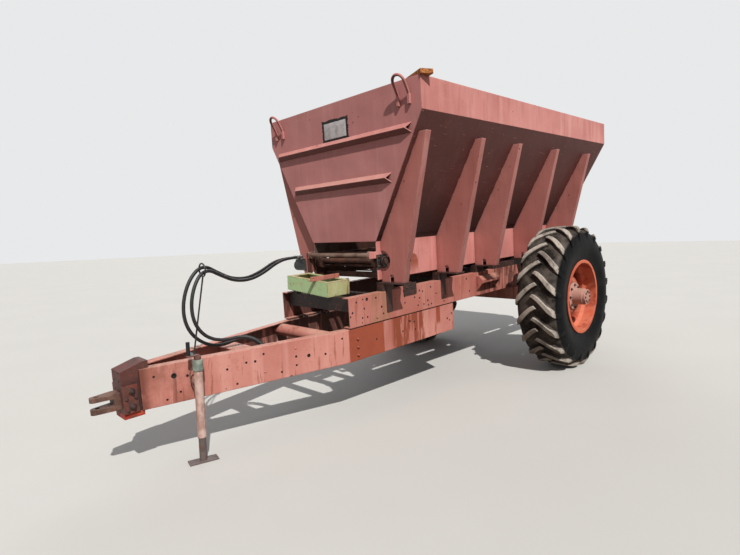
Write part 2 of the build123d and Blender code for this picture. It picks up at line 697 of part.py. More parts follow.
# Angle iron lying across the box frame, with a hole near its front end
ANGLE_LEG = 40.0
ANGLE_SHEET = 5.0
ANGLE_X = (118.0, 450.0)
ANGLE_Y = 46.0
ANGLE_HOLE = 16.0
ANGLE_FOOT = CROSS_TOP + FRAME_DEPTH
with BuildPart() as frame_angle:
    box(ANGLE_X, (ANGLE_Y - ANGLE_LEG, ANGLE_Y), (ANGLE_FOOT, ANGLE_FOOT + ANGLE_SHEET))
    box(ANGLE_X, (ANGLE_Y - ANGLE_SHEET, ANGLE_Y), (ANGLE_FOOT, ANGLE_FOOT + ANGLE_LEG))
    with BuildSketch(along(ANGLE_Y - ANGLE_SHEET)):
        with Locations((2 * ANGLE_HOLE - ANGLE_X[1], ANGLE_FOOT + ANGLE_LEG / 2)):
            Circle(ANGLE_HOLE / 2)
    extrude(amount=ANGLE_SHEET, mode=Mode.SUBTRACT)
write(tipped(frame_angle.part), "frame_angle")


def beam_line(inset):
    """Plan of a drawbar beam's outer face moved inward: rear, bend and front points."""
    bend_x = BEAM_BEND - inset * tan(BEAM_TURN / 2)
    nose_y = BEAM_NOSE_HALF - inset / cos(BEAM_TURN)
    return [(BEAM_REAR, BEAM_HALF - inset), (bend_x, BEAM_HALF - inset), (BEAM_FRONT, nose_y)]


def beam_face_y(x):
    """Y of a drawbar beam's outer face ahead of the bend."""
    return BEAM_HALF - (x - BEAM_BEND) * tan(BEAM_TURN)


# Drawbar beams: channels that turn in ahead of the rails
with BuildPart() as drawbar_beam:
    with BuildSketch(flat(BEAM_BOTTOM)):
        Polygon(*beam_line(0), *reversed(beam_line(BEAM_WEB)), align=None)
    extrude(amount=BEAM_DEPTH)
    for level in (BEAM_BOTTOM, BEAM_TOP - BEAM_WEB):
        with BuildSketch(flat(level)):
            Polygon(*beam_line(0), *reversed(beam_line(BEAM_FLANGE)), align=None)
        extrude(amount=BEAM_WEB)
write_pair(drawbar_beam.part, "drawbar_beam")

# Packing plates between rails and beams
PACKING_LENGTH = 150.0
PACKING_STARTS = (-1050.0, -480.0, 230.0)
with BuildPart() as drawbar_packing:
    for side in (1, -1):
        inner = side * (RAIL_HALF - RAIL_FLANGE)
        outer = side * BEAM_HALF
        for start in PACKING_STARTS:
            box(
                (start, start + PACKING_LENGTH),
                (min(inner, outer), max(inner, outer)),
                (BEAM_TOP, -RAIL_DEPTH),
            )
write(drawbar_packing.part, "drawbar_packing")

# Cross members of the drawbar: a bent pipe near the bend and a plate nearer the nose
PIPE = 108.0
PIPE_X = 500.0
PLATE_X = (1120.0, 1260.0)
PLATE_SHEET = 10.0


def beam_inside(x):
    """Y of a beam web's inner face ahead of the bend."""
    return beam_face_y(x) - BEAM_WEB / cos(BEAM_TURN)


PIPE_Z = BEAM_TOP - BEAM_WEB - PIPE / 2 - FIT
PIPE_HALF = beam_inside(PIPE_X + PIPE / 2)
PLATE_HALF = beam_inside(PLATE_X[1]) - FIT
PLATE_TOP = BEAM_TOP - BEAM_WEB - 12.0
with BuildPart() as drawbar_cross_members:
    with BuildSketch(along(-PIPE_HALF)):
        with Locations((-PIPE_X, PIPE_Z)):
            Circle(PIPE / 2)
    extrude(amount=2 * PIPE_HALF)
    box(PLATE_X, (-PLATE_HALF, PLATE_HALF), (PLATE_TOP - PLATE_SHEET, PLATE_TOP))
write(drawbar_cross_members.part, "drawbar_cross_members")

# Hitch nose: a block across the beams' ends with a cap plate over their flanges
CAP_TOP = 25.0
CAP_REACH = 65.0
with BuildPart() as hitch_nose:
    with BuildSketch(along(-NOSE_HALF)):
        Polygon(
            *profile_xz(
                [
                    (BEAM_FRONT, BEAM_BOTTOM),
                    (NOSE_FRONT, BEAM_BOTTOM),
                    (NOSE_FRONT, BEAM_TOP + CAP_TOP / 3),
                    (BEAM_FRONT - CAP_REACH / 2, BEAM_TOP + 2 * CAP_TOP),
                    (BEAM_FRONT - CAP_REACH, BEAM_TOP + 2 * CAP_TOP),
                    (BEAM_FRONT - CAP_REACH, BEAM_TOP),
                    (BEAM_FRONT, BEAM_TOP),
                ]
            ),
            align=None,
        )
    extrude(amount=2 * NOSE_HALF)
write(hitch_nose.part, "hitch_nose")

# Side plates bolted to the nose and the shoe below it
SIDE_PLATE = 15.0
SIDE_PLATE_X = 95.0
SIDE_PLATE_Z = (-535.0, -350.0)
SHOE_DEPTH = 33.0
SHOE_LENGTH = 130.0
with BuildPart() as hitch_plates:
    for side in (1, -1):
        limits = sorted((side * NOSE_HALF, side * (NOSE_HALF + SIDE_PLATE)))
        box((NOSE_FRONT - SIDE_PLATE_X, NOSE_FRONT), limits, SIDE_PLATE_Z)
    box(
        (NOSE_FRONT - SHOE_LENGTH, NOSE_FRONT),
        (-NOSE_HALF, NOSE_HALF),
        (BEAM_BOTTOM - SHOE_DEPTH, BEAM_BOTTOM),
    )
write(hitch_plates.part, "hitch_plates")

# Clevis: two tapered tines with rounded tips on a throat block
PIN_X = TIP_X - TINE_TIP - 12.0
THROAT = 40.0


def add_tine(bottom, thickness):
    """Level plate from the nose to a rounded tip, with the hole for the hitch pin."""
    with BuildSketch(flat(bottom)) as outline:
        Polygon(
            (NOSE_FRONT, -TINE_WIDTH / 2),
            (NOSE_FRONT + THROAT, -TINE_WIDTH / 2),
            (TIP_X - TINE_TIP, -TINE_TIP),
            (TIP_X - TINE_TIP, TINE_TIP),
            (NOSE_FRONT + THROAT, TINE_WIDTH / 2),
            (NOSE_FRONT, TINE_WIDTH / 2),
            align=None,
        )
        with Locations((TIP_X - TINE_TIP, 0)):
            Circle(TINE_TIP)
        with Locations((PIN_X, 0)):
            Circle(HITCH_PIN / 2, mode=Mode.SUBTRACT)
    extrude(outline.sketch, amount=thickness)


with BuildPart() as hitch_clevis:
    add_tine(TINE_UPPER_Z, TINE_UPPER)
    add_tine(TINE_LOWER_Z - TINE_LOWER, TINE_LOWER)
    box(
        (NOSE_FRONT, NOSE_FRONT + THROAT),
        (-TINE_WIDTH / 2, TINE_WIDTH / 2),
        (TINE_LOWER_Z, TINE_UPPER_Z),
    )
write(hitch_clevis.part, "hitch_clevis")

# Axle beam under the rails, packed up to them, with a spindle at each end
SPINDLE_TIP = 124.0              # spindle's end beyond the tyre's middle plane
SPINDLE_REACH = WHEEL_CENTRE_Y + SPINDLE_TIP - AXLE_HALF
with BuildPart() as axle:
    with BuildSketch(along(-AXLE_HALF)):
        with Locations((-HUB_X, HUB_Z)):
            RectangleRounded(AXLE_BEAM, AXLE_BEAM, 15)
    extrude(amount=2 * AXLE_HALF)
    inside = AXLE_BEAM / 2 - AXLE_WALL
    box(
        (HUB_X - inside, HUB_X + inside),
        (AXLE_WALL - AXLE_HALF, AXLE_HALF - AXLE_WALL),
        (HUB_Z - inside, HUB_Z + inside),
        mode=Mode.SUBTRACT,
    )
    for start in (-AXLE_HALF - SPINDLE_REACH, AXLE_HALF - SPINDLE):
        with BuildSketch(along(start)):
            with Locations((-HUB_X, HUB_Z)):
                Circle(SPINDLE / 2)
        extrude(amount=SPINDLE_REACH + SPINDLE)
write(axle.part, "axle")

AXLE_TOP = HUB_Z + AXLE_BEAM / 2
SADDLE_LENGTH = 260.0
SADDLE_SHEET = 12.0
with BuildPart() as axle_saddles:
    for side in (1, -1):
        limits = sorted((side * (RAIL_HALF - RAIL_FLANGE), side * (RAIL_HALF + 20)))
        box((HUB_X - SADDLE_LENGTH / 2, HUB_X + SADDLE_LENGTH / 2), limits, (AXLE_TOP, -RAIL_DEPTH))
        for end in (1, -1):
            face = HUB_X + end * AXLE_BEAM / 2
            cheek = sorted((face, face + end * SADDLE_SHEET))
            box(cheek, limits, (HUB_Z - AXLE_BEAM / 3, AXLE_TOP))
write(axle_saddles.part, "axle_saddles")


def turned(points, side):
    """Solid turned about the hubs' axis from an outline of (offset, radius) points."""
    outline = [(side * (WHEEL_CENTRE_Y + offset), radius) for offset, radius in points]
    with BuildPart() as solid:
        with BuildSketch(Plane.YX):
            Polygon(*outline, align=None)
        revolve(axis=Axis.Y)
    return solid.part.moved(Location((HUB_X, 0, HUB_Z)))


# Tyres: a hollow carcass with two rows of slanting lugs that meet in chevrons
TREAD_HALF = TYRE_WIDTH / 2
BEAD = 38.0
BEAD_TOP = RIM_FLANGE + 4.0      # radius at which the side leaves the rim's flange
SHOULDER = 22.0                  # crown's edge in from the side
SIDE_Z = (530.0, 680.0)          # radii between which the side is widest
TREAD_FLOOR = TYRE_RADIUS - 42.0
CARCASS_WALL = 36.0
LUGS = 20                        # in each row, the rows half a pitch apart
LUG_REACH = 134.0                # lug's half length round the tread
LUG_WIDTH = 60.0                 # along the tread, at the shoulder
LUG_NARROW = 46.0                # the same at the middle
LUG_OVERLAP = 20.0               # past the tyre's middle plane
LUG_TOP = (TYRE_RADIUS ** 2 - LUG_REACH ** 2) ** 0.5
LUG_ROOT = TREAD_FLOOR - 15.0
CROWN_HALF = TREAD_HALF - SHOULDER
LUG_END = CROWN_HALF - 2.0
TYRE_POINTS = (
    # offset from the middle plane, radius
    (-RIM_HALF, RIM_SEAT),
    (-RIM_HALF, BEAD_TOP),
    (-TREAD_HALF, SIDE_Z[0]),
    (-TREAD_HALF, SIDE_Z[1]),
    (-CROWN_HALF, TREAD_FLOOR),
    (CROWN_HALF, TREAD_FLOOR),
    (TREAD_HALF, SIDE_Z[1]),
    (TREAD_HALF, SIDE_Z[0]),
    (RIM_HALF, BEAD_TOP),
    (RIM_HALF, RIM_SEAT),
    (RIM_HALF - BEAD, RIM_SEAT),
    (TREAD_HALF - 1.6 * CARCASS_WALL, TREAD_FLOOR - CARCASS_WALL),
    (1.6 * CARCASS_WALL - TREAD_HALF, TREAD_FLOOR - CARCASS_WALL),
    (BEAD - RIM_HALF, RIM_SEAT),
)


def tyre(side):
    """Tyre of one wheel, with its chevrons pointing up at the front."""
    middle = side * WHEEL_CENTRE_Y
    with BuildPart() as lug:
        with BuildSketch(Plane(origin=(LUG_ROOT, middle, 0), x_dir=(0, 1, 0), z_dir=(1, 0, 0))):
            Polygon(
                (-LUG_OVERLAP, LUG_REACH - LUG_NARROW),
                (0, LUG_REACH),
                (LUG_END, LUG_WIDTH - LUG_REACH),
                (LUG_END, -LUG_REACH),
                align=None,
            )
        extrude(amount=LUG_TOP - LUG_ROOT)
        with BuildSketch(Plane.XY):
            Polygon(
                (LUG_ROOT, middle - 2 * LUG_OVERLAP),
                (LUG_TOP, middle - 2 * LUG_OVERLAP),
                (LUG_TOP, middle + LUG_END - LUG_OVERLAP),
                (LUG_ROOT, middle + LUG_END + LUG_OVERLAP),
                align=None,
            )
        extrude(amount=LUG_REACH + LUG_WIDTH, both=True, mode=Mode.INTERSECT)
    across_middle = Plane((0, middle, 0), z_dir=(0, 1, 0))
    lugs = []
    for number in range(LUGS):
        angle = number * 360 / LUGS
        lugs.append(lug.part.rotate(Axis.Y, angle))
        lugs.append(lug.part.mirror(across_middle).rotate(Axis.Y, angle + 180 / LUGS))
    carcass = turned(TYRE_POINTS, side)
    return carcass.fuse(*[bar.moved(Location((HUB_X, 0, HUB_Z))) for bar in lugs])


# Rims and hubs
DISC_SHEET = 12.0
HUB_FLANGE = 150.0
HUB_FLANGE_SHEET = 16.0
HUB_BARREL = 90.0
HUB_CAP = 82.0
HUB_CAP_DEPTH = 32.0
HUB_REACH = 255.0
HUB_INNER = -120.0
WELL = 345.0
SPINDLE_END_GAP = 4.0
RIM_POINTS = (
    (-RIM_HALF - RIM_WALL, RIM_FLANGE),
    (-RIM_HALF, RIM_FLANGE),
    (-RIM_HALF, RIM_SEAT),
    (-90, RIM_SEAT),
    (-60, WELL + RIM_WALL),
    (60, WELL + RIM_WALL),
    (90, RIM_SEAT),
    (RIM_HALF, RIM_SEAT),
    (RIM_HALF, RIM_FLANGE),
    (RIM_HALF + RIM_WALL, RIM_FLANGE),
    (RIM_HALF + RIM_WALL, RIM_SEAT - RIM_WALL),
    (94, RIM_SEAT - RIM_WALL),
    (64, WELL),
    (DISC_OFFSET, WELL),
    (DISH_OFFSET, DISH_RADIUS),
    (DISH_OFFSET, HUB_BARREL),
    (DISH_OFFSET - DISC_SHEET, HUB_BARREL),
    (DISH_OFFSET - DISC_SHEET, DISH_RADIUS - DISC_SHEET / 2),
    (DISC_OFFSET - DISC_SHEET, WELL),
    (-64, WELL),
    (-94, RIM_SEAT - RIM_WALL),
    (-RIM_HALF - RIM_WALL, RIM_SEAT - RIM_WALL),
)
HUB_POINTS = (
    (HUB_INNER, SPINDLE / 2 + RUNNING),
    (HUB_INNER, HUB_BARREL),
    (DISH_OFFSET, HUB_BARREL),
    (DISH_OFFSET, HUB_FLANGE),
    (DISH_OFFSET + HUB_FLANGE_SHEET, HUB_FLANGE),
    (DISH_OFFSET + HUB_FLANGE_SHEET, HUB_BARREL),
    (HUB_REACH - HUB_CAP_DEPTH, HUB_BARREL),
    (HUB_REACH - HUB_CAP_DEPTH, HUB_CAP),
    (HUB_REACH, HUB_CAP),
    (HUB_REACH, 0),
    (SPINDLE_TIP + SPINDLE_END_GAP, 0),
    (SPINDLE_TIP + SPINDLE_END_GAP, SPINDLE / 2 + RUNNING),
)
HAND_HOLES = 6
HAND_HOLE = (120.0, 62.0)        # length round the disc, and width
HAND_HOLE_RADIUS = (WELL + DISH_RADIUS) / 2


def rim(side):
    """Rim of one wheel with the hand holes through its disc."""
    with BuildPart() as holes:
        with BuildSketch(along(side * (WHEEL_CENTRE_Y + (DISC_OFFSET + DISH_OFFSET) / 2))):
            with Locations((-HUB_X, HUB_Z)):
                with PolarLocations(HAND_HOLE_RADIUS, HAND_HOLES):
                    SlotOverall(*HAND_HOLE, rotation=90)
        extrude(amount=(DISH_OFFSET - DISC_OFFSET) / 2 + DISC_SHEET, both=True)
    return turned(RIM_POINTS, side).cut(holes.part)


for side, name in ((1, "left"), (-1, "right")):
    write(tyre(side), f"tyre_{name}")
    write(rim(side), f"rim_{name}")
    write(turned(HUB_POINTS, side), f"hub_{name}")

# Gate: a plate that slides up the rear wall between guides, with its pull rod
GATE_FRONT = REAR_X - FIT
GATE_BACK = GATE_FRONT - GATE_SHEET
GATE_HALF = GATE_WIDTH / 2
GATE_ROD = 30.0
GATE_ROD_LAP = 160.0             # how far the pull rod lies on the plate
GATE_ROD_DEPTH = 10.0
GATE_ROD_TOP = 900.0
GUIDE_BACK = GATE_BACK - FIT
GUIDE_SHEET = 8.0
GUIDE_SPACER = 12.0
GUIDE_GRIP = 20.0                # how far a keeper reaches over the plate's edge
GUIDE_TOP = 1100.0
with BuildPart() as gate:
    box((GATE_BACK, GATE_FRONT), (-GATE_HALF, GATE_HALF), (GATE_BOTTOM, GATE_TOP))
    box(
        (GATE_BACK - GATE_ROD_DEPTH, GATE_BACK),
        (-GATE_ROD / 2, GATE_ROD / 2),
        (GATE_TOP - GATE_ROD_LAP, GATE_ROD_TOP),
    )
write(gate.part, "gate")

with BuildPart() as gate_guides:
    for side in (1, -1):
        guide_outside = GATE_HALF + MOVING_GAP + GUIDE_SPACER
        spacer = sorted((side * (GATE_HALF + MOVING_GAP), side * guide_outside))
        keeper = sorted((side * (GATE_HALF - GUIDE_GRIP), side * guide_outside))
        box((GUIDE_BACK, REAR_X), spacer, (TROUGH_TOP, GUIDE_TOP))
        box((GUIDE_BACK - GUIDE_SHEET, GUIDE_BACK), keeper, (TROUGH_TOP, GUIDE_TOP))
write(gate_guides.part, "gate_guides")

# Chute behind the conveyor: two sides, a back plate and a ridge that parts the flow
CHUTE_BACK = SILL_REAR - 90.0
CHUTE_SHEET = 6.0
CHUTE_Z = (-100.0, 185.0)
CHUTE_BACK_TOP = 330.0
CHUTE_LAP = 80.0                 # how far the sides lie along the sills
RIDGE = (130.0, 60.0, 170.0)     # half width, height of its top, length
RIDGE_SHEET = 12.0               # measured level
with BuildPart() as spinner_chute:
    for side in (1, -1):
        limits = sorted((side * TROUGH_HALF, side * (TROUGH_HALF + CHUTE_SHEET)))
        box((CHUTE_BACK, SILL_REAR + CHUTE_LAP), limits, CHUTE_Z)
    box((CHUTE_BACK, CHUTE_BACK + CHUTE_SHEET), (-TROUGH_HALF, TROUGH_HALF), (CHUTE_Z[0], CHUTE_BACK_TOP))
    ridge_inside = RIDGE[1] - RIDGE_SHEET * (RIDGE[1] - CHUTE_Z[0]) / RIDGE[0]
    with BuildSketch(across(CHUTE_BACK)):
        Polygon(
            (0, RIDGE[1]),
            (RIDGE[0], CHUTE_Z[0]),
            (RIDGE[0] - RIDGE_SHEET, CHUTE_Z[0]),
            (0, ridge_inside),
            (RIDGE_SHEET - RIDGE[0], CHUTE_Z[0]),
            (-RIDGE[0], CHUTE_Z[0]),
            align=None,
        )
    extrude(amount=RIDGE[2])
write(spinner_chute.part, "spinner_chute")

# Spinner frame: an arm on each rail and a channel across them
ARM_SHEET = 12.0
CHANNEL_HALF = 80.0
CHANNEL_TOP = SPINNER_Z - 30.0
CHANNEL_SHEET = 8.0
CHANNEL_DEPTH = 70.0
ARM_LAP = 250.0                  # arm forward of the rail's end
ARM_TOP = -110.0
ARM_REAR = SPINNER_X - CHANNEL_HALF
with BuildPart() as spinner_frame:
    for side in (1, -1):
        start = RAIL_HALF if side > 0 else -RAIL_HALF - ARM_SHEET
        with BuildSketch(along(start)):
            Polygon(
                *profile_xz(
                    [
                        (RAIL_REAR + ARM_LAP, -RAIL_DEPTH + 10),
                        (RAIL_REAR + ARM_LAP, ARM_TOP),
                        (RAIL_REAR + 40, ARM_TOP),
                        (RAIL_REAR - 60, CHANNEL_TOP),
                        (ARM_REAR, CHANNEL_TOP),
                        (ARM_REAR, CHANNEL_TOP - CHANNEL_DEPTH),
                        (RAIL_REAR, CHANNEL_TOP - CHANNEL_DEPTH),
                    ]
                ),
                align=None,
            )
        extrude(amount=ARM_SHEET)
    across_limits = (SPINNER_X - CHANNEL_HALF, SPINNER_X + CHANNEL_HALF)
    box(across_limits, (-RAIL_HALF, RAIL_HALF), (CHANNEL_TOP - CHANNEL_DEPTH, CHANNEL_TOP))
    box(
        (across_limits[0] + CHANNEL_SHEET, across_limits[1] - CHANNEL_SHEET),
        (-RAIL_HALF, RAIL_HALF),
        (CHANNEL_TOP - CHANNEL_DEPTH, CHANNEL_TOP - CHANNEL_SHEET),
        mode=Mode.SUBTRACT,
    )
    for side in (1, -1):
        with BuildSketch(flat(CHANNEL_TOP - CHANNEL_SHEET)):
            with Locations((SPINNER_X, side * SPINNER_Y)):
                Circle(SPINNER_SHAFT / 2 + MOVING_GAP)
        extrude(amount=CHANNEL_SHEET, mode=Mode.SUBTRACT)
write(spinner_frame.part, "spinner_frame")

# Spinner motors below the channel, with a bore for each spinner's shaft
MOTOR_BLOCK = 110.0
MOTOR_DEPTH = 150.0
SHAFT_DEPTH = 90.0
MOTOR_TOP = CHANNEL_TOP - CHANNEL_SHEET
with BuildPart() as spinner_motors:
    for side in (1, -1):
        with BuildSketch(flat(MOTOR_TOP - MOTOR_DEPTH)):
            with Locations((SPINNER_X, side * SPINNER_Y)):
                RectangleRounded(MOTOR_BLOCK, MOTOR_BLOCK, 15)
        extrude(amount=MOTOR_DEPTH)
        with BuildSketch(flat(MOTOR_TOP - SHAFT_DEPTH)):
            with Locations((SPINNER_X, side * SPINNER_Y)):
                Circle(SPINNER_SHAFT / 2 + RUNNING)
        extrude(amount=SHAFT_DEPTH, mode=Mode.SUBTRACT)
write(spinner_motors.part, "spinner_motors")

# Spinner discs with upright fins, a hub and the shaft into the motor
DISC_THICK = 6.0
FIN_SHEET = 5.0
SPINNER_HUB = 40.0
for side, name in ((1, "left"), (-1, "right")):
    with BuildPart() as spinner:
        with BuildSketch(flat(SPINNER_Z)):
            with Locations((SPINNER_X, side * SPINNER_Y)):
                Circle(SPINNER_RADIUS)
        extrude(amount=DISC_THICK)
        with BuildSketch(flat(SPINNER_Z + DISC_THICK)):
            with Locations((SPINNER_X, side * SPINNER_Y)):
                with PolarLocations(0, SPINNER_FINS):
                    with Locations((SPINNER_RADIUS / 2 + SPINNER_HUB / 2, 0)):
                        Rectangle(SPINNER_RADIUS - SPINNER_HUB - 12, FIN_SHEET)
        extrude(amount=FIN_HEIGHT)
        with BuildSketch(flat(CHANNEL_TOP + MOVING_GAP)):
            with Locations((SPINNER_X, side * SPINNER_Y)):
                Circle(SPINNER_HUB)
        extrude(amount=SPINNER_Z + DISC_THICK + 20 - CHANNEL_TOP - MOVING_GAP)
        with BuildSketch(flat(MOTOR_TOP - SHAFT_DEPTH + MOVING_GAP)):
            with Locations((SPINNER_X, side * SPINNER_Y)):
                Circle(SPINNER_SHAFT / 2)
        extrude(amount=CHANNEL_TOP + 2 * MOVING_GAP - MOTOR_TOP + SHAFT_DEPTH - MOVING_GAP)
    write(spinner.part, f"spinner_{name}")

# Hooks on the front wall: bars bent out from the wall with a round bend on top
HOOK_Y = 843.0
HOOK_HALF = 56.0
HOOK_BAR = 24.0
HOOK_PAD_Z = (1511.0, 1590.0)
HOOK_LEAN = 30.0             # degrees out from the wall
HOOK_LEG = 105.0
with BuildPart() as wall_hooks:
    for side in (1, -1):
        foot = Vector(HOOK_BAR / 2, side * HOOK_Y, HOOK_PAD_Z[1])
        bent_normal = (cos(radians(HOOK_LEAN)), 0, -sin(radians(HOOK_LEAN)))
        bent = Plane(origin=foot, x_dir=(0, 1, 0), z_dir=bent_normal)
        with BuildLine(bent) as bar_line:
            Line((-HOOK_HALF, 0), (-HOOK_HALF, HOOK_LEG))
            ThreePointArc((-HOOK_HALF, HOOK_LEG), (0, HOOK_LEG + HOOK_HALF), (HOOK_HALF, HOOK_LEG))
            Line((HOOK_HALF, HOOK_LEG), (HOOK_HALF, 0))
        start = bent.from_local_coords(Vector(-HOOK_HALF, 0, 0))
        with BuildSketch(Plane(origin=start, z_dir=bent.y_dir)):
            Circle(HOOK_BAR / 2)
        sweep(path=bar_line.line)
        for end in (-HOOK_HALF, HOOK_HALF):
            box(
                (0, HOOK_BAR),
                (side * HOOK_Y + end - HOOK_BAR / 2, side * HOOK_Y + end + HOOK_BAR / 2),
                HOOK_PAD_Z,
            )
write(wall_hooks.part, "wall_hooks")

# Board left lying across the hopper's front left corner
BOARD = (320.0, 110.0, 35.0)
BOARD_CENTRE = (-100.0, 905.0)
BOARD_TURN = 65.0
with BuildPart() as corner_board:
    with BuildSketch(flat(HOPPER_TOP)):
        with Locations(Location(BOARD_CENTRE, BOARD_TURN)):
            Rectangle(BOARD[0], BOARD[1])
    extrude(amount=BOARD[2])
write(corner_board.part, "corner_board")

# Hose holder: a bar between the beams, below their upper flanges, with a leaning rod and a ring
HOLDER_X = 1528.0
HOLDER_BAR = (40.0, 8.0)
HOLDER_ROD = 12.0
HOLDER_RING_CENTRE = (1392.0, -17.5, 335.0)
HOLDER_RING = 48.0               # radius of the ring's middle line
with BuildPart() as hose_holder:
    bar_ends = (HOLDER_X - HOLDER_BAR[0] / 2, HOLDER_X + HOLDER_BAR[0] / 2)
    bar_half = beam_inside(bar_ends[1]) - FIT
    bar_top = BEAM_TOP - BEAM_WEB - FIT
    box(bar_ends, (-bar_half, bar_half), (bar_top - HOLDER_BAR[1], bar_top))
    rod_foot = Vector(HOLDER_X, 0, bar_top - HOLDER_BAR[1] / 2)
    rod_top = Vector(*HOLDER_RING_CENTRE) - Vector(0, 0, HOLDER_RING)
    rod_way = rod_top - rod_foot
    with BuildSketch(Plane(origin=rod_foot, z_dir=rod_way)):
        Circle(HOLDER_ROD / 2)
    extrude(amount=rod_way.length)
    with Locations(Location(HOLDER_RING_CENTRE, (0, 90, 0))):
        Torus(HOLDER_RING, HOLDER_ROD / 2)
write(hose_holder.part, "hose_holder")

# Hoses: from the motor's fittings over the holder, round in a loop and down into the left beam
HOSE = 26.0
HOSE_ROUTES = {
    "hose_outer": (
        (FITTING_FRONT, -632, FITTING_Z),
        (230, -632, FITTING_Z),
        (420, -540, 292),
        (620, -440, 232),
        (835, -330, 196),
        (1050, -215, 222),
        (1230, -115, 300),
        (1345, -52, 358),
        (1435, -30, 338),
        (1512, -28, 240),
        (1558, -28, 110),
        (1560, -30, -25),
        (1508, -32, -145),
        (1405, -32, -232),
        (1285, -22, -262),
        (1170, -5, -232),
        (1085, 30, -232),
        (1012, 85, -300),
        (955, 150, -390),
        (890, 222, -468),
        (785, 303, -514),
        (655, 334, -514),
    ),
    "hose_inner": (
        (FITTING_FRONT, -590, FITTING_Z),
        (230, -590, FITTING_Z),
        (420, -496, 280),
        (620, -396, 218),
        (835, -286, 182),
        (1050, -172, 204),
        (1230, -74, 278),
        (1340, -14, 330),
        (1428, 12, 308),
        (1492, 26, 215),
        (1526, 30, 95),
        (1518, 30, -30),
        (1462, 30, -130),
        (1378, 30, -190),
        (1275, 34, -212),
        (1175, 52, -204),
        (1095, 98, -222),
        (1030, 160, -295),
        (980, 222, -385),
        (915, 285, -465),
        (825, 328, -514),
        (735, 349, -514),
    ),
}
COUPLER = (36.0, 75.0)           # diameter and length


def hose_radii(points):
    """Bend radius at each inner point: 0.45 of the shorter run over the tangent of half the turn."""
    radii = []
    for before, here, after in zip(points, points[1:], points[2:]):
        run_in, run_out = here - before, after - here
        turn = radians(run_in.get_angle(run_out))
        radii.append(0.45 * min(run_in.length, run_out.length) / tan(turn / 2))
    return radii


coupler_planes = []
for name, route in HOSE_ROUTES.items():
    points = [Vector(*point) for point in route]
    radii = hose_radii(points)
    with BuildPart() as hose:
        with BuildLine() as hose_line:
            FilletPolyline(*points, radius=radii)
        with BuildSketch(Plane(origin=points[0], z_dir=points[1] - points[0])):
            Circle(HOSE / 2)
        sweep(path=hose_line.wire())
    write(hose.part, name)
    expected = pi * HOSE ** 2 / 4 * hose_line.wire().length
    print(name, "radii", [round(radius) for radius in radii])
    print(name, "length", round(hose_line.wire().length), "least radius", round(min(radii)),
          "volume over section times length", round(hose.part.volume / expected, 4))
    coupler_planes.append(Plane(origin=points[-1], z_dir=points[-1] - points[-2]))

with BuildPart() as hose_couplers:
    for plane in coupler_planes:
        with BuildSketch(plane):
            Circle(COUPLER[0] / 2)
        extrude(amount=COUPLER[1])
write(hose_couplers.part, "hose_couplers")

# Jack: swivel stub on the left beam, turning tube with its crank, and sliding leg with its foot
BEAM_NORMAL = Vector(sin(BEAM_TURN), cos(BEAM_TURN), 0)
PIVOT_ON_WEB = Vector(JACK_X, beam_face_y(JACK_X), JACK_PIVOT_Z)
SWIVEL_STUB = 32.0
SWIVEL_RADIUS = 34.0
with BuildPart() as jack_mount:
    with BuildSketch(Plane(origin=PIVOT_ON_WEB, z_dir=BEAM_NORMAL)):
        Circle(SWIVEL_RADIUS - 6)
    extrude(amount=SWIVEL_STUB)
write(jack_mount.part, "jack_mount")

GROUND_PIVOT = (STANCE * Location(PIVOT_ON_WEB + BEAM_NORMAL * JACK_OUT)).position
SWIVEL_AXIS = BEAM_NORMAL.rotate(Axis.Y, NOSE_DOWN)
AT_GROUND = Location((0, 0, 0))
CRANK_HEAD = 26.0
CRANK_ARM = 62.0
CRANK_GRIP = 95.0
COLLAR_DEPTH = 76.0


def at_jack(z):
    """Level plane of the written frame with its origin on the jack's axis at height z."""
    return Plane(origin=(GROUND_PIVOT.X, GROUND_PIVOT.Y, z))


with BuildPart() as jack_tube:
    with BuildSketch(at_jack(JACK_TUBE_BOTTOM)):
        Circle(JACK_TUBE / 2)
    extrude(amount=JACK_TOP - JACK_TUBE_BOTTOM)
    with BuildSketch(at_jack(JACK_TOP - COLLAR_DEPTH)):
        Circle(JACK_TUBE / 2 + 5)
    extrude(amount=COLLAR_DEPTH)
    with BuildSketch(at_jack(JACK_TUBE_BOTTOM)):
        Circle(JACK_BORE / 2)
    extrude(amount=JACK_TOP - JACK_TUBE_BOTTOM - 10, mode=Mode.SUBTRACT)
    swivel_face = GROUND_PIVOT - SWIVEL_AXIS * (JACK_OUT - SWIVEL_STUB - 0.5)
    with BuildSketch(Plane(origin=swivel_face, z_dir=SWIVEL_AXIS)):
        Circle(SWIVEL_RADIUS)
    extrude(amount=JACK_OUT - SWIVEL_STUB - 0.5 - JACK_BORE / 2 - 1)
write(jack_tube.part, "jack_tube", AT_GROUND)

with BuildPart() as jack_crank:
    with BuildSketch(at_jack(JACK_TOP)):
        Circle(JACK_TUBE / 2 - 6)
    extrude(amount=CRANK_HEAD)
    with BuildSketch(at_jack(JACK_TOP + CRANK_HEAD)):
        with Locations((CRANK_ARM / 2, 0)):
            SlotOverall(CRANK_ARM + 30, 26)
    extrude(amount=8)
    with BuildSketch(at_jack(JACK_TOP + CRANK_HEAD + 8)):
        with Locations((CRANK_ARM, 0)):
            Circle(13)
    extrude(amount=CRANK_GRIP)
write(jack_crank.part, "jack_crank", AT_GROUND)

LEG_TOP = 480.0
with BuildPart() as jack_leg:
    with BuildSketch(Plane(at_jack(0).origin, x_dir=(cos(BEAM_TURN), -sin(BEAM_TURN), 0))):
        Rectangle(JACK_FOOT[0], JACK_FOOT[1])
    extrude(amount=JACK_FOOT[2])
    with BuildSketch(at_jack(JACK_FOOT[2])):
        Circle(JACK_LEG / 2)
    extrude(amount=LEG_TOP - JACK_FOOT[2])
write(jack_leg.part, "jack_leg", AT_GROUND)

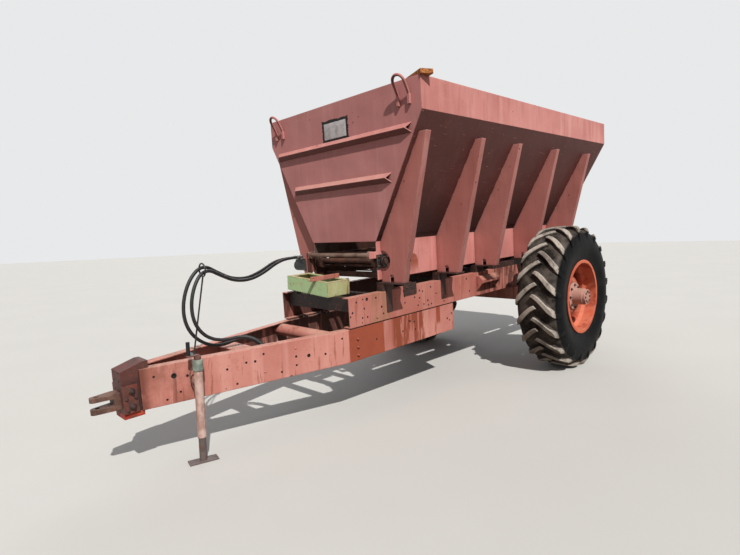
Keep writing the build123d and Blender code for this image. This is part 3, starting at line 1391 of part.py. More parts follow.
print("hub axis", round(HUB_STANDING_X, 2), TYRE_RADIUS)
print("jack pivot", GROUND_PIVOT, "axis", SWIVEL_AXIS)
for name, point in (
    ("hitch pin", (PIN_X, 0, (TINE_UPPER_Z + TINE_LOWER_Z) / 2)),
    ("spinner", (SPINNER_X, SPINNER_Y, SPINNER_Z)),
    ("gate", (GATE_BACK, 0, GATE_BOTTOM)),
):
    print(name, (STANCE * Location(point)).position)
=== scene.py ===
"""Looks of the pull-type lime spreader: finishes, small fasteners, tyres, hoses, floor and light."""
import bmesh
import bpy
import json
import random
from math import atan2, cos, radians, sin, tau
from mathutils import Matrix, Vector


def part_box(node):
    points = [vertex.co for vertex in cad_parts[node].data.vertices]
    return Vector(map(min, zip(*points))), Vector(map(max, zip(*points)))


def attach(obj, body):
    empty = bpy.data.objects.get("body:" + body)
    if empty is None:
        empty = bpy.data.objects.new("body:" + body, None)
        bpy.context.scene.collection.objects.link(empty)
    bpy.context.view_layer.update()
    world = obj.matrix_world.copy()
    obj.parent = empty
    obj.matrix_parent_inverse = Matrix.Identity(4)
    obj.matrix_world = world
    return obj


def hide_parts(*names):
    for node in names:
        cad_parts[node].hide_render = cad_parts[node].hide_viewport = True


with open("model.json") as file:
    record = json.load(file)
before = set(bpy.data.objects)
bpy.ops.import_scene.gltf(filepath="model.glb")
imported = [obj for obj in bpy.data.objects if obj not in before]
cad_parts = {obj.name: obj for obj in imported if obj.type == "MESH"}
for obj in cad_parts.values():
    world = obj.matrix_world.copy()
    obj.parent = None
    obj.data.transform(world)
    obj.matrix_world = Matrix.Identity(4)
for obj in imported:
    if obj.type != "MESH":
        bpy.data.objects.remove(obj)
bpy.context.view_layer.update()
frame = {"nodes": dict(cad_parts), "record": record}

# Machine frame: millimetres, X forward from the hopper's front wall, Y left, Z up from the rails
NOSE_DOWN = 2.3
HUB_X = -2358.0
HUB_Z = -339.0
tyre_low, tyre_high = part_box("tyre_left")
HUB = Vector(((tyre_low.x + tyre_high.x) / 2, 0, (tyre_low.z + tyre_high.z) / 2))
WHEEL_CENTRE = (tyre_low.y + tyre_high.y) / 2
MM = 0.001
TO_ROW = (
    Matrix.Translation(HUB)
    @ Matrix.Rotation(radians(NOSE_DOWN), 4, "Y")
    @ Matrix.Scale(MM, 4)
    @ Matrix.Translation((-HUB_X, 0, -HUB_Z))
)


def at(x, y, z):
    """Point of the row frame, in metres, for a point of the machine frame in millimetres."""
    return TO_ROW @ Vector((x, y, z))


def linear(colour):
    """Scene-linear RGBA of an sRGB colour given from 0 to 255."""
    parts = [c / 255 for c in colour]
    return (*[p / 12.92 if p <= 0.04045 else ((p + 0.055) / 1.055) ** 2.4 for p in parts], 1.0)


class Finish:
    """A material's node tree, with short ways to add and join its nodes."""

    def __init__(self, name):
        self.material = bpy.data.materials.new(name)
        self.material.use_nodes = True
        self.tree = self.material.node_tree
        self.shader = self.tree.nodes["Principled BSDF"]
        self.place = self.add("ShaderNodeTexCoord").outputs["Object"]
        self.colour = None

    def add(self, kind, inputs=None, **settings):
        """A new node with its properties set, and its inputs joined or set."""
        node = self.tree.nodes.new(kind)
        for key, value in settings.items():
            setattr(node, key, value)
        for key, value in (inputs or {}).items():
            self.give(node.inputs[key], value)
        return node

    def give(self, socket, value):
        """Join an output to a socket, or set the socket to a value."""
        if isinstance(value, bpy.types.NodeSocket):
            self.tree.links.new(value, socket)
        else:
            socket.default_value = value

    def math(self, operation, first, second=0.0, clamp=False):
        """One scalar operation."""
        return self.add("ShaderNodeMath", {0: first, 1: second}, operation=operation, use_clamp=clamp).outputs[0]

    def times(self, first, *others, clamp=False):
        """Product of masks and numbers."""
        for other in others:
            first = self.math("MULTIPLY", first, other, clamp)
        return first

    def flip(self, value):
        """1 minus a mask."""
        return self.math("SUBTRACT", 1.0, value)

    def stretched(self, scale, move=(0.0, 0.0, 0.0)):
        """The object's own coordinates, scaled along each axis and moved."""
        node = self.add("ShaderNodeMapping", {"Vector": self.place, "Scale": scale, "Location": move})
        return node.outputs["Vector"]

    def noise(self, scale, detail=4.0, rough=0.55, stretch=(1.0, 1.0, 1.0), move=(0.0, 0.0, 0.0), warp=0.0):
        """Fractal noise from 0 to 1."""
        place = self.stretched(stretch, move)
        settings = {"Vector": place, "Scale": scale, "Detail": detail, "Roughness": rough, "Distortion": warp}
        return self.add("ShaderNodeTexNoise", settings).outputs["Fac"]

    def dots(self, scale, size, least):
        """Sparse crisp dots: size is a share of their spacing, and least the share of places left empty."""
        node = self.add("ShaderNodeTexVoronoi", {"Vector": self.place, "Scale": scale})
        chance = self.add("ShaderNodeSeparateColor", {0: node.outputs["Color"]}).outputs
        near = self.math("LESS_THAN", node.outputs["Distance"], self.times(chance[1], size))
        return self.times(near, self.math("GREATER_THAN", chance[0], least))

    def step(self, value, low, high, top=1.0):
        """0 below low, top above high, and smooth between."""
        limits = {"Value": value, "From Min": low, "From Max": high, "To Max": top}
        return self.add("ShaderNodeMapRange", limits, interpolation_type="SMOOTHSTEP").outputs["Result"]

    def patches(self, scale, low, high, top=1.0, **kind):
        """Mask of the high places of a noise."""
        return self.step(self.noise(scale, **kind), low, high, top)

    def mix(self, share, first, second):
        """Colour mix of two outputs or sRGB colours from 0 to 255."""
        first, second = [linear(colour) if isinstance(colour, tuple) else colour for colour in (first, second)]
        return self.add("ShaderNodeMix", {"Factor": share, 6: first, 7: second}, data_type="RGBA").outputs[2]

    def coat(self, share, colour):
        """Lay a colour over the finish's own, by a mask."""
        self.colour = self.mix(share, self.colour, colour)

    def edges(self, radius, low, high):
        """Mask of outer edges, from how far a rounded normal leans from the true one, and that normal."""
        rounded = self.add("ShaderNodeBevel", {"Radius": radius}, samples=4).outputs["Normal"]
        true = self.add("ShaderNodeNewGeometry").outputs["Normal"]
        product = self.add("ShaderNodeVectorMath", {0: rounded, 1: true}, operation="DOT_PRODUCT")
        return self.step(self.flip(product.outputs["Value"]), low, high), rounded

    def crevices(self, distance):
        """1 in corners and tight gaps, 0 in the open."""
        return self.flip(self.add("ShaderNodeAmbientOcclusion", {"Distance": distance}, samples=4).outputs["AO"])

    def parts(self, vector):
        """X, Y and Z of a vector."""
        node = self.add("ShaderNodeSeparateXYZ", {0: vector})
        return [node.outputs[axis] for axis in "XYZ"]

    def machine(self):
        """The place in machine millimetres, as X, Y and Z."""
        node = self.add("ShaderNodeMapping", {
            "Vector": self.place, "Scale": (1 / MM,) * 3, "Rotation": (0, radians(-NOSE_DOWN), 0),
            "Location": TO_ROW.inverted().translation,
        })
        return self.parts(node.outputs["Vector"])

    def within(self, value, low, high, feather):
        """1 between low and high, falling to 0 over the feather outside them."""
        rise = self.step(value, low - feather, low)
        return self.times(rise, self.flip(self.step(value, high, high + feather)))

    def facing(self, axis, low, high):
        """1 on faces that look along an axis of the frame, such as "Z" or "-Z"."""
        part = self.parts(self.add("ShaderNodeNewGeometry").outputs["Normal"])["XYZ".index(axis[-1])]
        if axis[0] == "-":
            part = self.times(part, -1.0)
        return self.step(part, low, high)

    def from_hub(self):
        """Distance from the wheels' axis, and from the machine's middle plane, in metres."""
        x, y, z = self.parts(self.place)
        away_x, away_z = self.math("SUBTRACT", x, HUB.x), self.math("SUBTRACT", z, HUB.z)
        squares = self.math("ADD", self.times(away_x, away_x), self.times(away_z, away_z))
        return self.math("SQRT", squares), self.math("ABSOLUTE", y)

    def bump(self, height, distance, strength=0.5, normal=None):
        """Normal raised by a height."""
        inputs = {"Strength": strength, "Distance": distance, "Height": height}
        if normal is not None:
            inputs["Normal"] = normal
        return self.add("ShaderNodeBump", inputs).outputs["Normal"]

    def done(self, roughness, metallic=0.0, normal=None, specular=0.5):
        """Join the colour and the results to the shader and return the material."""
        results = {
            "Base Color": self.colour, "Roughness": roughness, "Metallic": metallic, "Specular IOR Level": specular
        }
        if normal is not None:
            results["Normal"] = normal
        for key, value in results.items():
            self.give(self.shader.inputs[key], value)
        return self.material


# Colours are sRGB, from 0 to 255
RUST_DARK = (74, 42, 30)
RUST_ORANGE = (142, 66, 36)
RUST_RUNS = (146, 80, 60)
BARE_PRIMER = (226, 164, 152)
DUST = (176, 152, 130)
# painted shade, laid in corners and tight gaps
CORNER_SHADE = (44, 30, 27)
REPAINT = (174, 86, 61)
REPAINT_DARK = (142, 70, 50)
RAIL_DUST = (150, 116, 84)
COLLAR_Z = 0.640                 # lower edge of the jack's collar above the ground, in metres
JACK_AXIS_X = 2.77377
JACK_AXIS_Y = 0.24867
GRIP_Z = 0.752
STAIN_X = -498.0                 # middle of the orange stain on the left sill
STAIN_HALF = 72.0
STAIN_TOP = 300.0
STAIN_FOOT = 90.0
KNEE_Z = 443.0                   # where the slopes meet the sills
SLOPE_RUN = 0.5671               # outward run of a slope for each unit of height
SLOPE_SKIN = 6.9                 # middle of the slope's sheet out from the middle of the sill's
INSIDE_HALF = 426.0              # middle of the sill's sheet
BAND_INSIDE = 1007.5             # middle of the upright band's sheet
FRONT_SKIN = -2.5
REAR_SKIN = -3807.5
RIM_UNDER = 1704.0
TROUGH_FOOT = 420.0              # the inside is darkest up to here
GATE_SKIN = -3812.0              # the gate's stains reach back to here, with their half width and top
GATE_HALF = 380.0
GATE_TOP = 760.0
RAIL_FOOT = -254.0
REPAINT_FIRST = (-10.0, 400.0)   # the left beam's repainted stretches, along X
REPAINT_DRIPS = (-551.0, -158.0)
REPAINT_LAST = (-836.0, -785.0)
RAIL_DUST_X = (100.0, 220.0)
SHOE_TOP = -528.0
BOARD_TURN = -65.0               # degrees from ahead to the board's grain
CROWN_RADIUS = 0.744             # the tyre's carcass at its middle, in metres


def weathered_paint(
    name, paint, dark, chalk, rust=0.5, streaks=0.5, wear=0.6, dust=0.35, dents=0.0, shade_below=None, stains_by=None
):
    """Old paint: faded in clouds, streaked, chipped along edges, rusted in spots, with painted shade on faces that
    look down and in corners.
    """
    finish = Finish(name)
    clouds = finish.noise(1.3, detail=5, warp=0.4)
    finish.colour = finish.mix(finish.step(clouds, 0.35, 0.68), dark, paint)
    finish.coat(finish.patches(9.0, 0.48, 0.7, streaks, stretch=(1, 1, 0.09), move=(3, 1, 0)), chalk)
    finish.coat(finish.patches(14.0, 0.6, 0.78, streaks * 0.7, detail=5, stretch=(1, 1, 0.06), move=(7, 2, 5)), dark)
    grain = finish.noise(70.0, detail=3, rough=0.7)
    finish.coat(finish.step(grain, 0.52, 0.8, 0.22), chalk)
    finish.coat(finish.patches(42.0, 0.56, 0.7, 0.35, move=(9, 4, 1)), dark)
    # painted shade: faces that look down take a deeper, darker red
    if shade_below:
        finish.coat(finish.times(finish.facing("-Z", 0.15, 0.45), 0.9), shade_below)
    rusted = finish.noise(3.1, detail=9, rough=0.68, move=(1, 8, 3), warp=0.6)
    finish.coat(finish.step(rusted, 0.66 - 0.06 * rust, 0.74, min(1.0, rust)), RUST_ORANGE)
    specks = finish.patches(26.0, 0.68 - 0.05 * rust, 0.74, detail=8, rough=0.75, move=(4, 4, 9))
    finish.coat(specks, RUST_DARK)
    runs_down = finish.noise(24.0, detail=5, rough=0.6, stretch=(1, 1, 0.1), move=(2, 7, 1))
    finish.coat(finish.step(runs_down, 0.57, 0.63, 0.8 * rust), RUST_RUNS)
    finish.coat(finish.dots(12.0, 0.14, 0.7), RUST_DARK)
    scratches = finish.noise(60.0, detail=2, stretch=(0.12, 0.12, 1.6), move=(5, 5, 5), warp=0.8)
    finish.coat(finish.step(scratches, 0.7, 0.73, 0.5), chalk)
    edge, rounded = finish.edges(0.009, 0.02, 0.25)
    finish.coat(finish.times(edge, finish.patches(30.0, 0.34, 0.5, detail=5, move=(2, 6, 2)), wear), BARE_PRIMER)
    finish.coat(finish.times(edge, finish.patches(18.0, 0.56, 0.66, detail=6, move=(5, 0, 7)), wear), RUST_DARK)
    if stains_by:
        stains_by(finish)
    # painted shade in corners and tight gaps
    finish.coat(finish.step(finish.crevices(0.09), 0.35, 1.0, 0.75), CORNER_SHADE)
    finish.coat(finish.times(finish.facing("Z", 0.3, 0.9), finish.step(clouds, 0.3, 0.6, dust)), DUST)
    height = finish.math("SUBTRACT", finish.times(grain, 0.25), specks)
    normal = finish.bump(height, 0.0012, 0.35, rounded)
    if dents:
        normal = finish.bump(finish.noise(2.6, detail=1.5, move=(0, 5, 0)), 0.05, dents, normal)
    return finish.done(finish.math("ADD", 0.5, finish.times(grain, 0.3)), normal=normal, specular=0.35)


def frame_stains(finish):
    """Brick-red repaint on the left beam with its drips, the rust and dust on the rail, and painted shade on the inner
    faces of the rails and beams.
    """
    x, y, z = finish.machine()
    ragged = finish.noise(16.0, stretch=(1, 1, 0.15), move=(2, 2, 8))
    left = finish.step(y, 300.0, 330.0)
    on_beam = finish.times(left, finish.flip(finish.step(z, RAIL_FOOT - 12, RAIL_FOOT - 10)))
    first = finish.within(x, *REPAINT_FIRST, 10.0)
    second = finish.within(x, *REPAINT_DRIPS, 60.0)
    drips = finish.times(second, finish.step(ragged, 0.42, 0.5))
    last = finish.times(finish.within(x, *REPAINT_LAST, 14.0), finish.step(z, -450.0, -400.0))
    brick = finish.math("MAXIMUM", finish.math("MAXIMUM", first, drips), last)
    tint = finish.mix(finish.noise(7.0), REPAINT_DARK, REPAINT)
    tint = finish.mix(finish.times(second, 0.7), tint, (136, 68, 46))
    finish.coat(finish.times(brick, on_beam), tint)
    above = finish.step(z, RAIL_FOOT - 6, RAIL_FOOT - 4)
    finish.coat(finish.times(above, 0.45), (176, 104, 92))
    on_rail = finish.times(left, above)
    wander = finish.math("ADD", x, finish.times(finish.noise(5.0, detail=6, move=(6, 6, 2)), 260.0))
    dusty = finish.times(finish.within(wander, *RAIL_DUST_X, 60.0), finish.step(ragged, 0.34, 0.6, 0.7))
    finish.coat(finish.times(dusty, on_rail), RAIL_DUST)
    rear = finish.times(finish.step(finish.times(x, -1.0), 1300.0, 1900.0), finish.step(ragged, 0.46, 0.56, 0.8))
    finish.coat(finish.times(rear, on_rail), RUST_DARK)
    # painted shade: the inner faces of the rails and beams go near black, fading out towards the front
    in_left = finish.times(finish.facing("-Y", 0.3, 0.6), finish.step(y, 0.0, 40.0))
    in_right = finish.times(finish.facing("Y", 0.3, 0.6), finish.flip(finish.step(y, -40.0, 0.0)))
    inner_shade = finish.times(finish.math("ADD", in_left, in_right), finish.step(ragged, 0.2, 0.5, 0.85))
    finish.coat(finish.times(inner_shade, finish.flip(finish.step(x, 700.0, 1500.0))), (24, 15, 13))
    blotch = finish.noise(6.0, detail=7, rough=0.66, stretch=(1, 1, 0.7), move=(5, 5, 2))
    finish.coat(finish.times(finish.step(x, 1500.0, 1640.0), finish.step(blotch, 0.4, 0.62, 0.75)), (150, 92, 76))
    runs = finish.patches(22.0, 0.58, 0.68, 0.7, detail=5, stretch=(1, 1, 0.1), move=(1, 7, 7))
    finish.coat(finish.times(finish.step(x, 1640.0, 1760.0), runs), (84, 50, 42))
    finish.coat(finish.times(finish.step(x, 1880.0, 1940.0), finish.step(blotch, 0.36, 0.5, 0.8)), (110, 60, 48))


def hopper_stains(finish):
    """Orange stain in the first bay, and inside the hopper rust with pale lime dust; painted shade deep inside, on
    faces that look ahead, and on low faces that look down.
    """
    x, y, z = finish.machine()
    reach = finish.math("ABSOLUTE", y)
    on_slope = finish.times(finish.math("SUBTRACT", z, KNEE_Z), SLOPE_RUN)
    skin = finish.math("ADD", INSIDE_HALF, finish.math("MAXIMUM", on_slope, 0.0))
    skin = finish.math("ADD", skin, finish.step(z, KNEE_Z, KNEE_Z + 12.0, SLOPE_SKIN))
    depth = finish.math("SUBTRACT", finish.math("MINIMUM", skin, BAND_INSIDE), reach)
    inside = finish.times(
        finish.step(depth, 0.0, 1.0), finish.within(x, REAR_SKIN, FRONT_SKIN, 1.0),
        finish.flip(finish.step(z, RIM_UNDER, RIM_UNDER + 1)),
    )
    scoured = finish.patches(5.0, 0.34, 0.66, detail=8, rough=0.7, stretch=(1, 1, 0.35), move=(6, 3, 2), warp=0.5)
    rust = finish.mix(scoured, (72, 46, 37), (128, 78, 56))
    lime = finish.patches(2.2, 0.44, 0.62, detail=7, rough=0.7, move=(1, 1, 4))
    low_down = finish.flip(finish.step(z, TROUGH_FOOT, 1150.0))
    residue = finish.times(lime, finish.math("ADD", 0.15, low_down), clamp=True)
    rust = finish.mix(finish.times(residue, 0.6), rust, (168, 156, 142))
    on_gate = finish.times(
        finish.within(x, GATE_SKIN, REAR_SKIN, 1.0), finish.facing("X", 0.5, 0.8),
        finish.flip(finish.step(reach, GATE_HALF, GATE_HALF + 1)), finish.flip(finish.step(z, GATE_TOP, GATE_TOP + 1)),
    )
    # painted shade: the inside turns near black low down, into the trough
    deep_shade = finish.flip(finish.step(z, TROUGH_FOOT, 640.0))
    rust = finish.mix(finish.times(deep_shade, 0.7), rust, (24, 16, 14))
    # painted shade: faces that look ahead take a darker tint, a little bluer on the front wall and redder on the ribs
    ahead_shade_tint = finish.mix(finish.step(x, -6.0, -4.0), (172, 103, 94), (178, 119, 119))
    finish.coat(finish.times(finish.facing("X", 0.6, 0.9), 0.6), ahead_shade_tint)
    finish.coat(finish.math("MAXIMUM", inside, on_gate), rust)
    # painted shade on low faces that look down
    low_under_shade = finish.times(finish.facing("-Z", 0.15, 0.45), finish.flip(finish.step(z, 480.0, 1000.0)))
    finish.coat(finish.times(low_under_shade, 0.92), (40, 20, 18))
    away = finish.math("DIVIDE", finish.math("SUBTRACT", x, STAIN_X), STAIN_HALF)
    rise = finish.math("DIVIDE", finish.math("SUBTRACT", z, STAIN_TOP - STAIN_HALF), STAIN_HALF)
    rise = finish.math("MAXIMUM", rise, 0.0)
    squares = finish.math("ADD", finish.times(away, away), finish.times(rise, rise))
    stain = finish.times(
        finish.flip(finish.step(squares, 0.8, 1.1)), finish.step(z, STAIN_FOOT, STAIN_TOP - STAIN_HALF),
        finish.step(y, 400.0, 425.0, 0.85), finish.patches(11.0, 0.22, 0.48, detail=7, rough=0.66),
    )
    finish.coat(stain, RUST_ORANGE)


def wheel_dust(finish):
    """Pink dust over the disc, with orange left on the rim's outer rings, deep red patches of painted shade in the
    barrel, and darker over the wheel's inner side.
    """
    radius, out = finish.from_hub()
    on_disc = finish.flip(finish.step(radius, 0.318, 0.342))
    finish.coat(finish.times(on_disc, finish.patches(12.0, 0.3, 0.55, 0.85, detail=6)), (146, 88, 76))
    barrel = finish.times(finish.step(radius, 0.33, 0.345), finish.flip(finish.step(radius, 0.384, 0.388)))
    finish.coat(finish.times(barrel, finish.patches(9.0, 0.3, 0.52, 0.75, detail=5, move=(4, 2, 2))), (208, 120, 92))
    # painted shade: deep red patches in the rim's barrel
    shaded = finish.patches(6.0, 0.5, 0.6, 0.65, detail=6, rough=0.62, move=(1, 2, 8))
    finish.coat(finish.times(barrel, shaded), (150, 56, 34))
    finish.coat(finish.times(finish.flip(finish.step(out, 1.0, 1.05)), 0.8), RUST_DARK)


def green_faces(finish):
    """The front of the box frame has kept more of its green than its sides."""
    front = finish.times(finish.facing("X", 0.5, 0.8), finish.patches(8.0, 0.3, 0.45, detail=5), 0.85)
    finish.coat(front, (186, 222, 166))
    edge, _ = finish.edges(0.014, 0.015, 0.18)
    finish.coat(finish.times(edge, finish.patches(26.0, 0.4, 0.52, 0.85, detail=6, move=(4, 0, 4))), (96, 58, 42))


def shoe_paint(finish):
    """Orange-red left on the shoe below the nose and on the lower edge of its plates."""
    low = finish.flip(finish.step(finish.machine()[2], SHOE_TOP - 12, SHOE_TOP))
    tint = finish.mix(finish.patches(30.0, 0.35, 0.65, detail=5), (150, 40, 26), (200, 82, 56))
    finish.coat(finish.times(low, finish.patches(14.0, 0.36, 0.46, detail=5, move=(3, 5, 1))), tint)
    finish.coat(finish.times(finish.patches(9.0, 0.45, 0.6, detail=6, move=(8, 1, 6)), 0.55), (128, 62, 52))


def nose_red(finish):
    """Old red paint left in places on the nose."""
    finish.coat(finish.times(finish.patches(7.0, 0.4, 0.6, detail=6, move=(8, 1, 6)), 0.7), (92, 42, 37))


def crank_grip(finish):
    """Black grip on the jack's crank."""
    x, _, z = finish.parts(finish.place)
    out = finish.step(x, JACK_AXIS_X + 0.044, JACK_AXIS_X + 0.046)
    finish.coat(finish.times(out, finish.step(z, GRIP_Z, GRIP_Z + 0.002)), (26, 26, 28))


def jack_coat(finish):
    """Grey-green collar at the jack's head, over the pink tube."""
    head = finish.step(finish.parts(finish.place)[2], COLLAR_Z - 0.002, COLLAR_Z)
    finish.coat(finish.patches(11.0, 0.46, 0.6, 0.7, detail=7, rough=0.68, stretch=(1, 1, 0.5)), (158, 118, 104))
    finish.coat(head, finish.mix(finish.patches(24.0, 0.4, 0.6, detail=5), (120, 130, 120), (158, 166, 154)))


def rusted_steel(name, base, shade, bright, metallic=0.35, rough=0.6, stains_by=None):
    """Bare steel under a skin of rust, with brighter rubbed places along its edges and painted shade in its corners.
    """
    finish = Finish(name)
    clouds = finish.noise(7.0, detail=8, rough=0.7, warp=0.5)
    finish.colour = finish.mix(finish.step(clouds, 0.36, 0.64), shade, base)
    finish.coat(finish.patches(33.0, 0.56, 0.72, 0.6, detail=6), RUST_ORANGE)
    edge, rounded = finish.edges(0.004, 0.03, 0.3)
    finish.coat(finish.times(edge, finish.patches(21.0, 0.4, 0.6, 0.7, move=(3, 3, 3))), bright)
    if stains_by:
        stains_by(finish)
    # painted shade in corners and tight gaps
    finish.coat(finish.step(finish.crevices(0.05), 0.4, 1.0, 0.7), CORNER_SHADE)
    normal = finish.bump(finish.noise(90.0, detail=5, rough=0.7), 0.0012, 0.5, rounded)
    return finish.done(finish.math("ADD", rough - 0.12, finish.times(clouds, 0.3)), metallic, normal)


def plain_coat(name, base, worn, rough=0.4, metallic=0.0, scratch=0.5):
    """Even coat with fine dirt and painted shade in corners, used for black paint, plating and hose."""
    finish = Finish(name)
    clouds = finish.noise(16.0, detail=6, rough=0.65)
    finish.colour = finish.mix(finish.step(clouds, 0.45, 0.72, scratch), base, worn)
    edge, rounded = finish.edges(0.003, 0.03, 0.3)
    finish.coat(finish.times(edge, finish.patches(60.0, 0.45, 0.6, 0.6)), worn)
    # painted shade in corners and tight gaps
    finish.coat(finish.step(finish.crevices(0.03), 0.45, 1.0, 0.6), CORNER_SHADE)
    normal = finish.bump(finish.noise(120.0, detail=3), 0.0006, 0.3, rounded)
    return finish.done(finish.math("ADD", rough, finish.times(clouds, 0.25)), metallic, normal)


def old_board():
    """Sun-bleached orange-brown board with its grain along its length."""
    finish = Finish("weathered_board")
    turned = {"Vector": finish.place, "Rotation": (0, 0, radians(BOARD_TURN)), "Scale": (4, 60, 60)}
    along = finish.add("ShaderNodeMapping", turned).outputs["Vector"]
    grain = finish.add("ShaderNodeTexNoise", {"Vector": along, "Scale": 1.6, "Detail": 6}).outputs["Fac"]
    finish.colour = finish.mix(finish.step(grain, 0.35, 0.65), (128, 74, 40), (206, 134, 78))
    finish.coat(finish.patches(9.0, 0.52, 0.7, 0.55, detail=5), (150, 134, 116))
    edge, rounded = finish.edges(0.004, 0.03, 0.3)
    finish.coat(finish.times(edge, 0.5), (98, 66, 44))
    normal = finish.bump(grain, 0.002, 0.6, rounded)
    return finish.done(0.75, normal=normal, specular=0.25)


def tyre_rubber():
    """Worn tyre: scuffed brown-grey lugs, dark floor between them, black shoulders and flanks, with painted highlights
    along the lugs' edges and painted shade in its crevices.
    """
    finish = Finish("tyre_rubber")
    radius, out = finish.from_hub()
    off_middle = finish.math("ABSOLUTE", finish.math("SUBTRACT", out, WHEEL_CENTRE))
    crown = finish.math("SUBTRACT", CROWN_RADIUS, finish.step(off_middle, 0.13, 0.225, 0.05))
    on_lug = finish.step(finish.math("SUBTRACT", radius, crown), 0.022, 0.034)
    clouds = finish.noise(6.0, detail=7, rough=0.68, warp=0.4)
    grit = finish.noise(55.0, detail=5, rough=0.7)
    finish.colour = finish.mix(finish.step(clouds, 0.4, 0.7), (9, 9, 10), (24, 24, 26))
    finish.coat(finish.patches(30.0, 0.62, 0.72, 0.45, detail=7, rough=0.75, stretch=(1, 2.5, 1)), (120, 119, 118))
    floor_dust = finish.mix(finish.step(clouds, 0.36, 0.64), (36, 32, 30), (92, 83, 77))
    top_dust = finish.mix(finish.step(clouds, 0.34, 0.6), (128, 119, 111), (190, 179, 168))
    tread = finish.flip(finish.step(off_middle, 0.196, 0.222))
    finish.coat(finish.times(tread, finish.step(radius, 0.69, 0.71)), floor_dust)
    fade = finish.flip(finish.step(off_middle, 0.2, 0.232, 0.7))
    finish.coat(finish.times(on_lug, finish.step(grit, 0.26, 0.46), fade), top_dust)
    edge, rounded = finish.edges(0.009, 0.012, 0.14)
    # painted highlight along the lugs' upper edges
    finish.coat(finish.times(edge, finish.step(grit, 0.32, 0.56, 0.8), on_lug), (214, 206, 194))
    # painted shade in the tyre's crevices
    finish.coat(finish.step(finish.crevices(0.06), 0.3, 0.9, 0.8), (24, 20, 18))
    place = finish.stretched((1, 0, 1), (-HUB.x, 0, -HUB.z))
    wave = {"Vector": place, "Scale": 14.0, "Distortion": 0.3}
    flank = finish.add("ShaderNodeTexWave", wave, wave_type="RINGS", rings_direction="Y")
    rings = finish.times(flank.outputs["Fac"], finish.flip(finish.step(radius, 0.64, 0.66)))
    relief = finish.math("ADD", finish.times(grit, 0.8), finish.times(rings, 0.5))
    normal = finish.bump(relief, 0.002, 0.5, rounded)
    return finish.done(finish.math("ADD", 0.5, finish.times(on_lug, 0.3)), normal=normal, specular=0.06)


FINISHES = {
    "hopper_paint": weathered_paint(
        "hopper_paint", (217, 147, 140), (198, 126, 119), (232, 172, 164), rust=0.25, streaks=0.45, wear=0.7,
        dents=0.35, shade_below=(80, 41, 38), stains_by=hopper_stains,
    ),
    "frame_paint": weathered_paint(
        "frame_paint", (210, 141, 128), (184, 112, 99), (226, 166, 154), rust=0.78, streaks=0.5, wear=0.8,
        shade_below=(120, 66, 56), stains_by=frame_stains,
    ),
    "rim_paint": weathered_paint(
        "rim_paint", (228, 118, 82), (202, 86, 56), (238, 170, 144), rust=0.3, streaks=0.2, wear=0.5, dust=0.2,
        stains_by=wheel_dust,
    ),
    "green_paint": weathered_paint(
        "green_paint", (190, 196, 144), (176, 164, 116), (212, 214, 172), rust=0.9, streaks=0.4, wear=0.7, dust=0.4,
        stains_by=green_faces,
    ),
    "jack_paint": weathered_paint(
        "jack_paint", (226, 196, 186), (178, 134, 120), (238, 214, 206), rust=1.0, streaks=0.6, wear=0.8,
        stains_by=jack_coat,
    ),
    "dark_steel": rusted_steel("dark_steel", (68, 44, 39), (38, 26, 24), (136, 100, 90), metallic=0.1),
    "worn_steel": rusted_steel("worn_steel", (112, 76, 62), (64, 44, 38), (176, 156, 144), metallic=0.5),
    "black_paint": plain_coat("black_paint", (26, 26, 28), (84, 84, 86), rough=0.35),
    "zinc_steel": plain_coat("zinc_steel", (168, 168, 164), (110, 100, 90), rough=0.3, metallic=0.9),
    "hose_rubber": plain_coat("hose_rubber", (24, 25, 27), (66, 66, 66), rough=0.42, scratch=0.4),
    "tyre": tyre_rubber(),
    "board_wood": old_board(),
}
HUB_PAINT = weathered_paint(
    "hub_paint", (218, 170, 156), (160, 106, 92), (244, 214, 202), rust=0.8, streaks=0.2, wear=0.8
)
# Near-black steel, painted shade: it stands for the deep shade on the rails' cross members and the frame block
SHADE_STEEL = rusted_steel("shade_steel", (40, 27, 24), (22, 16, 14), (84, 60, 52), metallic=0.0)
OWN_FINISH = {
    # nodes whose finish differs from the rest of their slot
    "frame_block": SHADE_STEEL,
    "rail_cross_members": SHADE_STEEL,
    "hitch_nose": rusted_steel(
        "nose_steel", (90, 54, 48), (56, 34, 30), (132, 86, 74), metallic=0.0, stains_by=nose_red
    ),
    "hitch_plates": rusted_steel(
        "plate_steel", (116, 70, 60), (70, 41, 35), (166, 114, 98), metallic=0.1, stains_by=shoe_paint
    ),
    "hitch_clevis": rusted_steel("clevis_steel", (128, 96, 83), (84, 58, 49), (180, 156, 142), metallic=0.2),
    "jack_crank": rusted_steel("crank_steel", (150, 108, 98), (96, 66, 58), (176, 150, 138), stains_by=crank_grip),
    "jack_leg": rusted_steel("leg_steel", (116, 102, 98), (76, 64, 60), (156, 144, 138), metallic=0.2),
    "shaft_bearings": rusted_steel("bearing_steel", (56, 42, 38), (24, 18, 17), (214, 198, 188), metallic=0.2),
    "hub_left": HUB_PAINT,
    "hub_right": HUB_PAINT,
    "front_tube": rusted_steel("tube_steel", (150, 126, 112), (104, 78, 66), (206, 196, 186), metallic=0.6, rough=0.5),
}
SLOT_OF = {part["node"]: part["material_slot"] for part in frame["record"]["subparts"]}
for node, thing in frame["nodes"].items():
    thing.data.materials.clear()
    thing.data.materials.append(OWN_FINISH.get(node, FINISHES[SLOT_OF[node]]))


def link(name, data):
    """A new object with this data, in the scene."""
    thing = bpy.data.objects.new(name, data)
    bpy.context.scene.collection.objects.link(thing)
    return thing


def add_piece(name, data, slot, body="root", finish=None):
    """Put a mesh or curve into the scene as a piece that rides on a body."""
    piece = link(name, data)
    data.materials.append(finish or FINISHES[slot])
    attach(piece, body)
    return piece


